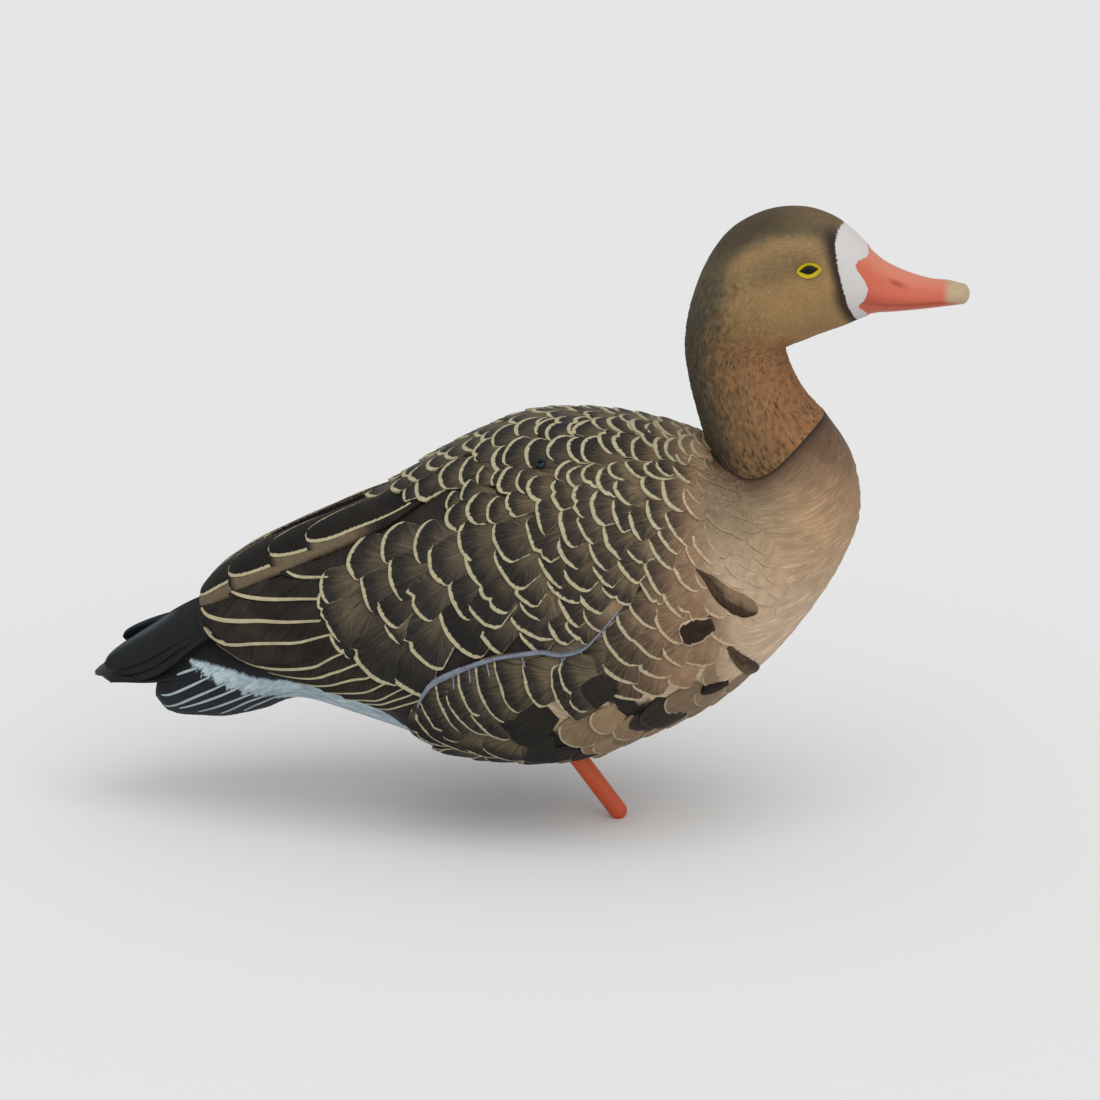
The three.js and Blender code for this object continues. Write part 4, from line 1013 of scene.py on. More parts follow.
# Flank: tall narrow feathers placed one by one over two rows of evenly spaced belly feathers.
def makeFlanks():
    rng = np.random.default_rng(14)
    laid = placed(flankPlaces, 1.0, flank["rimWidth"], 1.5, rng)
    small = (laid["s"] < 0.56) & (laid["th"] > 2.1)
    laid["length"] = np.minimum(np.where(small, 0.9, 1.2) * laid["width"], 34)
    laid["tip"] = 1.2 + 8 * (0.72 - laid["s"])
    rows, spacing = rowPlaces(torso, 2.7, *flank["bellyRows"], *flank["bellySpacing"])
    found = []
    for number, (row, gap) in enumerate(zip(rows, spacing)):
        th = np.array([2.48, 2.76, 3.04]) + 0.12 * (number % 2)
        s = row + smooth(row, 0.5, 0.72) * (np.interp(th, flankEdgeTh, flankEdgeS)
                                            - 0.69) + rng.normal(0, 0.002, 3)
        found.append({"s": s, "th": th + rng.normal(0, 0.015, 3),
                      "width": np.full(3, flank["bellyWidth"] * 1.2),
                      "length": np.full(3, gap * 2.0), "turn": rng.normal(0.1, 0.06, 3),
                      "root": np.full(3, -0.4),
                      "tip": np.full(3, 0.9), "roundness": np.full(3, 0.8),
                      "rim": np.full(3, flank["rimWidth"] * 0.8)})
    body = joined([featherBlades(torso, laid, flankColours, flankSwell, across=19, seed=25, hold=belowRidge),
                   featherBlades(torso, gathered(found), flankColours, flankSwell, seed=27)])
    bothSides("flankFeathers", body)


makeFlanks()


# A long feather or band laid on a form along a path from its tip (t 0) to its root (t 1), half as wide
# as half (mm) to either side, its tip rounded. Its section is a shallow arch with a wall at each side;
# a skirt, if given as angles by s, goes on from the lower edge down to the form.
def vaneAlong(form, path, half, lift, colours, rows=36, tipShare=0.14, sunk=2.0, rimWidth=1.7,
              lowerOnly=False,
              number=0.3, across=9, relief=None, skirt=None):
    t = np.linspace(0, 1, rows) ** 1.5
    centre = readLine(path, t)
    s, th = np.clip(centre[:, 0], 0, 1), centre[:, 1]
    alongS, alongTh, normal = formSlopes(form, s, th)
    ahead = np.gradient(formPoint(form, s, th), axis=0)
    ahead /= np.linalg.norm(ahead, axis=-1, keepdims=True)
    aside = np.cross(normal, ahead)
    aside *= np.sign(np.einsum("ij,ij->", aside, alongTh))
    length = np.linalg.norm(np.diff(formPoint(form, s, th), axis=0), axis=1).sum() / mm
    rounding = np.sqrt(np.clip(1 - (1 - np.clip(t / tipShare, 0.012, 1)) ** 2, 0, 1))
    wide = (half(t) if callable(half) else half + 0 * t) * rounding
    v = np.sin(np.linspace(-1, 1, across) * np.pi / 2)
    step = v[None, :, None] * wide[:, None, None] * aside[:, None] * mm
    stepS, stepTh = surfaceSteps(step, alongS, alongTh)
    S = np.clip(s[:, None] + stepS, 0, 1)
    TH = th[:, None] + stepTh
    T = np.broadcast_to(t[:, None], S.shape)
    high = lift(T, v[None]) if callable(lift) else lift + 0 * T
    high = high + 0.05 * wide[:, None] * (1 - v[None] ** 2)
    if skirt is not None:
        k = np.linspace(0, 1, 6)[1:]
        foot = np.maximum(np.interp(S[:, -1:], *skirt), TH[:, -1:] + 0.02)
        S = np.concatenate([S, np.repeat(S[:, -1:], len(k), 1)], 1)
        TH = np.concatenate([TH, TH[:, -1:] * (1 - k) + foot * k], 1)
        high = np.concatenate([high, high[:, -1:] * (1 - k ** 4) + 0.5 * k ** 4], 1)
        v = np.concatenate([v, 1 + k])
    v = np.concatenate([v, [v[-1], -1]])
    S, TH = (np.concatenate([data, data[:, -1:], data[:, :1]], 1) for data in (S, TH))
    high = np.concatenate([high, np.full((rows, 2), -sunk)], 1)
    T = np.broadcast_to(t[:, None], S.shape)
    if relief is not None:
        high = high + relief(S, TH)
    points = lifted(form, S, TH, high * mm)
    toSide = 1 - v[None] if lowerOnly else 1 - np.abs(v[None])
    inFrom = np.minimum(wide[:, None] * toSide, T * length + 0 * toSide)
    isWall = (v > 1) | (np.arange(len(v)) >= len(v) - 2)
    inFrom = np.where(isWall, 5.0, inFrom)
    slanted = T * length + 0.7 * wide[:, None] * v[None]  # barbs run out and toward the tip
    barb = np.stack([slanted + 61 * number, inFrom, np.full(S.shape, number * 40)], -1)
    vane, fringe = colours(S, TH, T, v[None] + 0 * S)
    rim = rimWidth * (1 - 0.5 * smooth(T, 0.8, 1)) * (1 - 0.35 * smooth(T * length, 30, 70))
    rim = rim * (1 - (0.2 + 0.6 * smooth(T * length, 12, 45)) * smooth(-v[None], 0, 0.6))
    return points.reshape(-1, 3), loftFaces(rows, len(v)), {
        "barb": barb.reshape(-1, 3), "vane": np.broadcast_to(vane, points.shape).reshape(-1, 3),
        "fringe": np.broadcast_to(fringe, points.shape).reshape(-1, 3), "rim": rim.reshape(-1)}


makeMarks()

# Tertials: four long feathers over each folded wing, the topmost the shortest, each with a tan side that
# slopes from its lower edge to the wing. Tips as s and th; sides are the angles where the slopes end.
tertials = {
    "tips": [(0.762, 0.395), (0.826, 0.36), (0.906, 0.355), (1.0, 0.33)], "half": [14.5, 18, 20, 18],
    "root": (0.575, 0.34), "lifts": [4.6, 3.9, 3.2, 2.6],
    "dark": "#1d1916", "warm": "#352e25", "cream": "#b4ab8a", "rimWidth": 2.0,
    "side": "#6d5e4b", "sideShade": "#211b15",
    "sideS": [0.57, 0.654, 0.694, 0.734, 0.77, 0.804, 0.846, 0.902, 0.985],
    "sideTh": [0.52, 0.575, 0.605, 0.625, 0.645, 0.685, 0.715, 0.79, 0.95],
}


def darkVane(s, th, t, v):
    share = smooth(t, 0.0, 0.5) * (0.5 + 0.5 * softNoise(t * 9, v * 1.5, 41))
    return mix(tertials["dark"], tertials["warm"], share), linear(tertials["cream"])


# Dark on top; the side past v 1 is tan, with painted shade behind the tip, toward the front end and where it
# meets the wing.
def tertialVane(s, th, t, v, tipS):
    vane, fringe = darkVane(s, th, t, v)
    shade = (1 - smooth(tipS - s, 0.0, 0.016)) * (tipS < 0.95) + 0.7 * smooth(v, 1.75,
                                                                              2.0) + 1 - smooth(s, 0.64, 0.7)
    shade = np.clip(0.1 + shade, 0, 1)
    side = mix(tertials["side"], tertials["sideShade"], shade)
    return 0.5 * vane + (side - 0.5 * vane) * smooth(v, 1.0, 1.15)[..., None], fringe


def makeTertials():
    feathers = []
    for i, ((tipS, tipTh), half, high) in enumerate(zip(tertials["tips"], tertials["half"],
                                                        tertials["lifts"])):
        path = [[tipS + (tertials["root"][0] - tipS) * u, tipTh + (tertials["root"][1] - tipTh) * u]
                for u in np.linspace(0, 1, 6)]

        def lift(t, v, high=high):
            return high - (high + 0.9) * smooth(t, 0.35 + 0.06 * i, 0.98)

        def vane(s, th, t, v, tipS=tipS):
            return tertialVane(s, th, t, v, tipS)
        feathers.append(vaneAlong(torso, path, half, lift, vane, number=0.17 * (i + 1), rows=44,
                                  tipShare=0.32 - 0.05 * i, rimWidth=tertials["rimWidth"],
                                  skirt=(tertials["sideS"], tertials["sideTh"])))
    bothSides("tertials", joined(feathers), vanePaint)


makeTertials()

# Secondaries: bands under the tertials, each given by its lower edge from the rear end to its root, with
# a cream line brushed along that edge. lines are the half widths of the brushed lines in mm.
secondaries = {
    "edges": [
        [[0.804, 0.69], [0.794, 0.75], [0.778, 0.787], [0.73, 0.83]],
        [[0.905, 0.75], [0.886, 0.835], [0.86, 0.898], [0.82, 0.947], [0.74, 1.0]],
        [[0.992, 0.94], [0.976, 1.09], [0.946, 1.132], [0.904, 1.134], [0.868, 1.134], [0.826, 1.154],
         [0.74, 1.15]],
        [[0.993, 1.42], [0.984, 1.58], [0.966, 1.64], [0.94, 1.52], [0.89, 1.391], [0.836, 1.351],
         [0.78, 1.265], [0.73, 1.22]],
        [[0.975, 1.96], [0.955, 2.04], [0.93, 2.02], [0.892, 1.855], [0.846, 1.657], [0.79, 1.45],
         [0.73, 1.33]],
        [[0.9, 2.06], [0.866, 1.932], [0.834, 1.795], [0.796, 1.588], [0.74, 1.45], [0.7, 1.4]],
        [[0.865, 2.08], [0.848, 2.021], [0.826, 1.913], [0.786, 1.696], [0.72, 1.509], [0.69, 1.45]],
        [[0.838, 2.14], [0.812, 2.0], [0.79, 1.903], [0.726, 1.627], [0.685, 1.51]],
        [[0.818, 2.18], [0.795, 2.05], [0.77, 1.942], [0.712, 1.696], [0.675, 1.575]],
        [[0.795, 2.12], [0.77, 2.0], [0.724, 1.804], [0.692, 1.706], [0.662, 1.62]],
        [[0.775, 2.1], [0.75, 1.98], [0.71, 1.83], [0.682, 1.75], [0.658, 1.66]],
    ],
    "half": [7, 8, 9, 10, 10, 8, 7, 6.5, 6, 5, 4.5], "step": 1.4,
    "lines": [1.1, 1.3, 1.4, 1.1, 1.0, 0.85, 0.8, 0.75, 0.7, 0.65, 0.6],
}


def lineVane(s, th, t, v):
    worn = 0.5 + 0.5 * softNoise(t * 40, v + 3, 43)
    return mix(tertials["cream"], tertials["warm"],
               0.35 * worn * smooth(t, 0.3, 1.0)), linear(tertials["cream"])


def makeSecondaries():
    bands, lines = [], []
    for i, (edge, half, thick) in enumerate(zip(secondaries["edges"], secondaries["half"],
                                                secondaries["lines"])):
        place = readLine(edge, np.linspace(0, 1, 12))
        slopes = formSlopes(torso, place[:, 0], place[:, 1])
        middle = place.copy()
        middle[:, 1] -= half * mm / np.linalg.norm(slopes[1], axis=-1)

        def lift(t, v):
            return 0.4 + secondaries["step"] * (0.5 + 0.5 * v) - 1.5 * smooth(t, 0.86, 1.0)

        def lineLift(t, v):
            return secondaries["step"] + 0.5 - 1.9 * smooth(t, 0.88, 1.0)

        def lineHalf(t, thick=thick):
            return thick * (0.25 + 0.75 * np.sin(np.pi * np.clip(t * 0.8 + 0.12, 0, 1)))
        bands.append(vaneAlong(torso, middle, half * 1.02, lift, darkVane, number=0.13 * (i + 2),
                               tipShare=0.06, rimWidth=0.0))
        lines.append(vaneAlong(torso, place, lineHalf, lineLift, lineVane, number=0.11 * (i + 2),
                               tipShare=0.05, rimWidth=0.0, across=5, rows=40))
    bothSides("secondaries", joined(bands), vanePaint)
    bothSides("secondaryLines", joined(lines), vanePaint)


makeSecondaries()

# Blue-grey ridge along the top of the flank, with short branches where fringes start.
ridge = {
    "path": [[0.684, 1.8], [0.672, 1.7], [0.652, 1.585], [0.622, 1.535], [0.592, 1.515], [0.56, 1.525],
             [0.524, 1.592],
             [0.504, 1.676], [0.478, 1.706], [0.448, 1.657], [0.414, 1.588]],
    "half": 1.15, "rear": 0.8, "height": 2.2, "colour": "#858b98", "dark": "#384254",
    "branches": [[[0.622, 1.545], [0.628, 1.64]], [[0.6, 1.525], [0.606, 1.61]],
                 [[0.578, 1.525], [0.582, 1.6]],
                 [[0.54, 1.565], [0.543, 1.64]], [[0.503, 1.68], [0.51, 1.78], [0.518, 1.9]]],
}


def ridgeVane(s, th, t, v):
    worn = 0.5 + 0.5 * softNoise(t * 34, v * 2 + 5, 51)
    # darker in random patches, and toward the lower edge as painted shade
    return mix(ridge["colour"], ridge["dark"],
               0.5 * worn + 0.45 * smooth(v, 0.2, 1.0)), linear(ridge["colour"])


def makeRidge():
    def half(t):
        even = ridge["half"] * (0.45 + 0.6 * np.sin(np.pi * np.clip(t + 0.1, 0, 1)))
        return even + ridge["rear"] * np.exp(-((t - 0.24) / 0.13) ** 2)

    bodies = [vaneAlong(torso, ridge["path"], half,
                        lambda t, v: ridge["height"] + 0.8 * smooth(t, 0.5, 0.8), ridgeVane,
                        tipShare=0.05, rimWidth=0.0, rows=70, relief=flankSwell)]
    for branch in ridge["branches"]:
        bodies.append(vaneAlong(torso, branch[::-1], 0.55, ridge["height"] - 0.2, ridgeVane, rimWidth=0.0,
                                rows=12,
                                relief=flankSwell))
    bothSides("flankRidge", joined(bodies))


makeRidge()

# Rump and undertail: dark lobe with pale streaks and a white wedge that runs forward under the wing.
undertail = {
    "black": "#0c0d0f", "blue": "#1c2531", "white": "#bccacf", "shade": "#8fa2ad", "streak": "#b5c3c6",
    "whiteTopS": [0.0, 0.142, 0.258, 0.35, 0.514, 0.728, 0.75],
    "whiteTopTh": [1.7, 1.8, 1.98, 1.86, 1.45, 1.075, 1.06],
    "whiteLowS": [0.0, 0.27, 0.292, 0.378, 0.466, 0.604, 0.728, 0.75],
    "whiteLowTh": [3.3, 3.2, 2.7, 2.238, 1.972, 1.597, 1.12, 1.06],
    "streaks": [
        [[0.8, 1.36], [0.74, 1.33], [0.67, 1.3]], [[0.915, 1.96], [0.754, 1.716], [0.61, 1.5]],
        [[0.9, 2.4], [0.71, 1.952], [0.53, 1.66]], [[0.79, 2.297], [0.632, 2.011], [0.46, 1.77]],
        [[0.696, 2.4], [0.56, 2.15], [0.4, 1.96]], [[0.6, 2.5], [0.47, 2.22], [0.33, 2.12]],
        [[0.5, 2.55], [0.42, 2.36], [0.3, 2.3]],
    ],
}


def makeRump():
    rows, columns = 150, 180
    s = np.linspace(0, 1, rows)[:, None] + np.zeros(columns)
    th = np.linspace(0, 2 * np.pi, columns, endpoint=False) + np.zeros((rows, 1))
    around = fromTop(th)
    # feather steps follow the streaks' slant
    slant = (around - 1.45 * s) * 3.6
    steps = slant - np.floor(slant)
    relief = 0.7 * (steps ** 2 - 0.3) * smooth(around, 0.9, 1.3) * smooth(s, 0.25,
                                                                          0.4) * (1 - smooth(s, 0.9, 1))
    points = lifted(rump, s, th, relief * mm)
    ragged = 0.07 * softNoise(s * 70, around * 8, 61) + 0.05 * softNoise(s * 190, around * 30, 62)
    topGap = (around - np.interp(s, undertail["whiteTopS"], undertail["whiteTopTh"])) * 40 + 10 * ragged
    lowGap = (np.interp(s, undertail["whiteLowS"], undertail["whiteLowTh"]) - around) * 40 + 45 * ragged
    white = np.where(s < 0.75, np.minimum(topGap, lowGap), -5)
    share = smooth(white, -0.8, 0.8)
    pale = mix(undertail["white"], undertail["shade"], 0.5 + 0.5 * softNoise(s * 50, around * 12, 63))
    darkTone = mix(undertail["black"], undertail["blue"],
                   smooth(around, 1.2, 2.2) * (1 - smooth(s, 0.8, 1)) * 0.7)
    colour = darkTone * (1 - share)[..., None] + pale * share[..., None]
    down = np.stack([s * 180 + around * 30, around * 45 - s * 60, 0 * s], -1)
    ends = np.array([(formPoint(rump, e, 0.0) + formPoint(rump, e, np.pi)) / 2 for e in (0.0, 1.0)])
    values = {"coat": np.concatenate([colour.reshape(-1, 3), np.tile(linear(undertail["black"]), (2, 1))]),
              "down": np.concatenate([down.reshape(-1, 3), np.zeros((2, 3))])}
    makePiece("rumpSkin", np.concatenate([points.reshape(-1, 3), ends]), skinFaces(rows, columns), bodyPaint,
              "plumage", "body", values)


def streakVane(s, th, t, v):
    return mix(undertail["streak"], undertail["blue"],
               0.5 * np.abs(v) * smooth(t, 0, 0.3)), linear(undertail["streak"])


def makeStreaks():
    bodies = [vaneAlong(rump, path, lambda t: 0.25 + 0.75 * np.sin(np.pi * np.clip(t * 0.9 + 0.05, 0, 1)),
                        0.55, streakVane,
                        rimWidth=0.0, rows=24, tipShare=0.1, across=5) for path in undertail["streaks"]]
    body = joined(bodies)
    both = joined([body, mirrored(body)])
    makePiece("undertailStreaks", *both[:2], featherPaint, "plumage", "body", both[2])


makeRump()
makeStreaks()

# Tail: a roof of black feathers over the rump, blunt pointed behind. droop is how late it bends down,
# sides how far its side edges hang.
tail = {
    "root": (-40, 21.5), "tip": (-61.5, 15.5), "half": (3.4, 5.9), "droop": 2.8, "sides": 4.6,
    "thickness": 5.0,
    "feathers": 6, "black": "#060708", "sheen": "#15191c",
}


# Tail surface: u from root to tip, v across. It reaches back less toward the sides and bends down late;
# each feather rises in a small step over the next one out, and carries a shaft.
def makeTail():
    rows, across = 60, 97
    u = np.linspace(0, 1, rows)[:, None]
    v = np.linspace(-1, 1, across)[None]
    reach = u * (1 - 0.12 * (np.hypot(v, 0.4) - 0.4) - 0.06 * v * v
                 - 0.002 * (1 + np.cos(tail["feathers"] * np.pi * (v + 1))))
    x = tail["root"][0] + (tail["tip"][0] - tail["root"][0]) * reach
    z = tail["root"][1] + (tail["tip"][1] - tail["root"][1]) * reach ** tail["droop"]
    half = tail["half"][0] + (tail["half"][1] - tail["half"][0]) * smooth(u, 0, 0.75)
    roof = -tail["sides"] * (1 - smooth(reach, 0.55, 1.1)) * (np.hypot(v, 0.1) - 0.1) ** 1.6
    thin = (1 + (0.45 - 1) * u) * (1 - 0.5 * v * v)
    place = np.abs(v) * tail["feathers"]
    step = place - np.floor(place)
    relief = 0.4 * (0.5 - step) + 0.12 * np.exp(-((step - 0.5) / 0.08) ** 2) - 0.06 * np.sin(u * 260
                                                                                             + 14 * step)
    relief = relief * smooth(u, 0.05, 0.3)
    flat = np.stack([x * percent, v * half * percent + 0 * u, (z + roof) * percent], -1)
    over, under = flat.copy(), flat[:, ::-1].copy()
    over[..., 2] += (tail["thickness"] / 2 * thin + relief) * mm
    under[..., 2] -= (tail["thickness"] / 2 * thin)[:, ::-1] * mm
    grid = np.concatenate([over, under], 1)
    step, lengthwise = np.broadcast_to(step, (rows, across)), np.broadcast_to(u, (rows, across))
    # painted sheen along the crest; the underside takes half of the top's colour as painted shade
    shine = mix(tail["black"], tail["sheen"], smooth(1 - np.abs(v), 0.55, 1) * (0.4 + 0.6 * (1 - step)))
    coat = np.concatenate([shine, shine[:, ::-1] * 0.5], 1)
    down = np.stack([lengthwise * 130, step * 12 + np.floor(place + 0 * lengthwise) * 15, 0 * step], -1)
    down = np.concatenate([down, down[:, ::-1]], 1)
    makePiece("tailFeathers", grid.reshape(-1, 3), loftFaces(rows, across * 2), tailPaint, "plumage", "body",
              {"coat": coat.reshape(-1, 3), "down": down.reshape(-1, 3)})


tailPaint = makeBodyPaint("satinBlackPaint", {**bodyLook, "downSpacing": 1.2, "downStrength": 0.3,
                                              "roughness": 0.55, "relief": 0.2})
makeTail()

# Wing tips over the tail, each wing's longest blade as points from root to tip: the right ones lie over
# the left ones, so they are higher. The next blade's tip lies at "next" from one's own.
primaries = {
    "right": [[-41, 4.6, 26.2], [-45.6, 4.9, 25.2], [-50.2, 5.0, 23.0], [-54.8, 4.9, 20.1],
              [-59.3, 4.7, 17.9]],
    "left": [[-41, 4.6, 23.8], [-45.6, 5.1, 22.2], [-50.2, 5.3, 20.8], [-54.8, 5.1, 19.6],
             [-59.2, 4.6, 18.6]],
    "next": (1.7, 0.3, -0.62), "half": 2.2, "thickness": 2.4,
    "black": "#070809", "sheen": "#15191c", "streak": "#66767f",
}


# Three long blades a side, each a lens section carried along its line and rounded at the tip.
def wingTip(side):
    bodies = []
    for index in range(3):
        u = np.linspace(0, 1, 44)
        middle = (readLine(primaries[side], u) + index * np.array(primaries["next"]) * u[:, None]) * percent
        taper = np.sqrt(np.clip(1 - np.clip((u - 0.72) / 0.28, 0, 1) ** 2, 0.0008, 1))
        half = primaries["half"] * percent * taper * (0.7 + 0.3 * np.sin(np.pi * u))
        turn = np.linspace(0, 2 * np.pi, 24, endpoint=False)
        h, thick = np.cos(turn)[None], np.sin(turn)[None]
        ribs = 1 + 0.05 * np.sin(h * 9) * (np.abs(h) < 0.9)
        grid = np.stack([
            middle[:, 0, None] + 0 * h,
            -(middle[:, 1, None] + thick * primaries["thickness"] * 0.5 * mm * ribs
              - h * half[:, None] * 0.42),
            middle[:, 2, None] + h * half[:, None] * 0.9], -1)
        line = np.exp(-((h - 0.82) / 0.1) ** 2) * smooth(u[:, None], 0.5, 0.6) * (index == 0)
        coat = mix(mix(primaries["black"], primaries["sheen"], smooth(h, -0.2, 0.9) + 0 * u[:, None]),
                   primaries["streak"], 0.5 * line)
        down = np.stack([u[:, None] * 120 + 0 * h, h * 12 + 0 * u[:, None], 0 * h + index + 0 * u[:, None]],
                        -1)
        bodies.append((grid.reshape(-1, 3), loftFaces(44, 24),
                       {"coat": coat.reshape(-1, 3), "down": down.reshape(-1, 3)}))
    return joined(bodies)


def makePrimaries():
    both = joined([wingTip("right"), mirrored(wingTip("left"))])
    makePiece("primaries", *both[:2], tailPaint, "plumage", "body", both[2])


makePrimaries()

# Head and neck: painted zones, and low carving in mm. Each mark: s, th, reach in s and th, lift.
headMarks = [
    (0.36, 1.95, 0.09, 0.6, 2.6), (0.47, 1.12, 0.08, 0.16, 1.6), (0.475, 1.46, 0.035, 0.2, -1.8),
    (0.535, 1.55, 0.03, 0.35, -1.2), (0.79, 0.93, 0.035, 0.14, -1.1), (0.76, 1.45, 0.12, 0.2, 0.8),
    (0.93, 0, 0.035, 0.9, 0.9),
]
neck = {"tickLength": 5.2, "tickWidth": 3.2, "furrowLength": 12, "furrowWidth": 5.4, "tickDepth": 1.0,
        "rows": 400, "columns": 236}
blazeTh = [0, 0.16, 0.74, 1.0, 1.25, 1.49, 1.76, 2.13, 2.55, math.pi]
blazeS = [0.594, 0.592, 0.57, 0.56, 0.558, 0.556, 0.555, 0.554, 0.566, 0.575]
billTh = [0, 0.25, 0.42, 0.62, 0.82, 0.98, 1.13, 1.24, 1.38, 1.53, 1.69, 1.86, 2.0, 2.1, 2.18, 2.27, 2.37,
          2.5, math.pi]
billS = [0.665, 0.672, 0.674, 0.668, 0.652, 0.634, 0.62, 0.624, 0.65, 0.66, 0.652, 0.642, 0.63, 0.61, 0.6,
         0.604, 0.618, 0.63, 0.632]


# Relief of the head, in mm: the marks, the line of the mouth, and a small step down at the bill's base.
def headRelief(s, th):
    around = fromTop(th)
    lift = 0 * s
    for atS, atTh, farS, farTh, high in headMarks:
        lift = lift + high * np.exp(-((s - atS) / farS) ** 2 - ((around - atTh) / farTh) ** 2)
    lift = lift - 0.5 * mouthLine(s, th)
    nostril, below = nostrilPit(s, th), nostrilPit(s, fromTop(th) - 0.16)
    base = np.interp(around, billTh, billS)
    return lift + 0.5 * below - 1.3 * nostril - 0.7 * smooth(s - base, -0.006, 0.006)


# A slanting slit on either side of the bill.
def nostrilPit(s, th):
    off = fromTop(th) - 0.95 - 2.0 * (s - 0.785)
    return np.exp(-((s - 0.785) / 0.024) ** 2 - (off / 0.09) ** 2)


def mouthLine(s, th):
    angle = np.interp(s, [0.61, 0.71, 0.79, 0.85, 0.93], [2.25, 2.1, 1.98, 1.9, 1.85])
    inMouth = smooth(s, 0.62, 0.65) * (1 - smooth(s, 0.92, 0.945))
    return inMouth * np.exp(-(((fromTop(th) - angle) / 0.09) ** 2))


# Short grooves on the neck, one to each cell of a jittered grid: long soft dents along the neck, as deep
# as their own random strength. Each point looks at the cells round it.
def grooves(s, th, length, width, seed):
    x, y = s * 440 / length, fromTop(th) * 40 / width
    rng = np.random.default_rng(seed)
    offX, offY = rng.uniform(-0.4, 0.4, (64, 64)), rng.uniform(-0.35, 0.35, (64, 64))
    strong = rng.uniform(0.3, 1, (64, 64))
    deepest = 0 * s
    for i in (-1, 0, 1):
        for j in (-1, 0, 1):
            cellX, cellY = np.floor(x).astype(int) + i, np.floor(y).astype(int) + j
            kx, ky = cellX % 64, cellY % 64
            dx = x - (cellX + 0.5 + offX[kx, ky] + 0.5 * (cellY % 2))
            dy = y - (cellY + 0.5 + offY[kx, ky]) + 0.12 * dx
            deepest = np.maximum(deepest, strong[kx, ky] * np.exp(-(dx / 0.4) ** 2 - (dy / 0.19) ** 2))
    return deepest


# Fine ticks up the neck, and longer furrows near its foot.
def neckTicks(s, th):
    fine = grooves(s, th, neck["tickLength"], neck["tickWidth"], 71) * (1 - smooth(s, 0.2, 0.33))
    long = grooves(s, th, neck["furrowLength"], neck["furrowWidth"], 76) * (1 - smooth(s, 0.08, 0.16))
    return np.maximum(0.9 * fine, long)


headPaint = {
    "neckBack": "#484031", "neckMid": "#755a3b", "neckFront": "#8a6240", "nape": "#564e3a",
    "cheek": "#95774f",
    "band": "#927750", "crown": "#473c2b", "crownFront": "#66543a", "grooveShade": "#241c14", "border": "#2a2019",
    "white": "#cbc8c6",
    "bill": "#c4614a", "billLitTop": "#cb7a62", "billShadedLow": "#b04f37", "nail": "#b29c7d", "eyeShade": "#5f4c31",
    "side": "#5d5037",
}


# Head colours by place: olive nape, brown neck, tan cheek under a pale band, dark crown and eye streak, and
# the dark border before the blaze; soft clouds break all of them up, painted highlights brighten the tufts
# between the neck's grooves, painted shade darkens the grooves (ticks), and painted shade lies in the eye's
# socket.
def headColour(s, th, ticks):
    around = fromTop(th)
    cloud = 0.6 * softNoise(s * 44, around * 6, 74) + 0.4 * softNoise(s * 110, around * 15, 75)
    colour = mix(headPaint["neckBack"], headPaint["neckMid"], smooth(around + 0.16 * cloud, 0.75, 1.5))
    colour = mix(colour, headPaint["neckFront"], smooth(around, 1.3, 2.3))
    upper = smooth(s, 0.22, 0.34)
    cheek = mix(headPaint["nape"], headPaint["cheek"], smooth(around + 0.1 * cloud, 0.85, 1.5))
    colour = mix(colour, cheek, upper)
    band = np.exp(-((around - 1.02 - 0.5 * (s - 0.42))
                    / 0.2) ** 2) * smooth(s, 0.3, 0.36) * (1 - smooth(s, 0.5, 0.56))
    colour = mix(colour, headPaint["band"], 0.9 * band)
    streak = np.exp(-((around - 1.43) / 0.15) ** 2) * smooth(s, 0.33, 0.4) * (1 - smooth(s, 0.47, 0.5))
    colour = mix(colour, headPaint["side"], 0.5 * streak)
    crownLow = np.interp(s, [0.3, 0.34, 0.4, 0.46, 0.52], [0.45, 0.65, 0.86, 0.8, 0.72])
    crown = (1 - smooth(around + 0.08 * cloud, crownLow - 0.26, crownLow + 0.14)) * smooth(s, 0.27, 0.36)
    crownTone = mix(headPaint["crown"], headPaint["crownFront"], smooth(s, 0.42, 0.53))
    colour = colour + (crownTone - colour) * (0.92 * crown)[..., None]
    # painted shade in the eye's socket
    eye = np.exp(-((s - 0.478) / 0.034) ** 2 - ((around - 1.46) / 0.17) ** 2)
    colour = mix(colour, headPaint["eyeShade"], 0.6 * eye)
    before = np.interp(around, blazeTh, blazeS) - s
    reach = 0.034 + 0.02 * smooth(around, 1.6, 2.1)
    border = (1 - smooth(before, 0.25 * reach, 1.25 * reach)) * smooth(around, 0.3, 0.9)
    # painted highlights on the tufts between the neck's grooves
    tuftHighlights = softNoise(s * 150, around * 21, 77) * (1 - smooth(s, 0.26, 0.4)) * (0.35 - 0.15
                                                                                * smooth(around, 1.2, 1.8))
    colour = mix(colour, headPaint["border"], 0.94 * border) * (1 + 0.1 * cloud + tuftHighlights)[..., None]
    # painted shade in the neck's grooves
    return mix(colour, headPaint["grooveShade"], 0.8 * smooth(ticks, 0.2, 0.8))


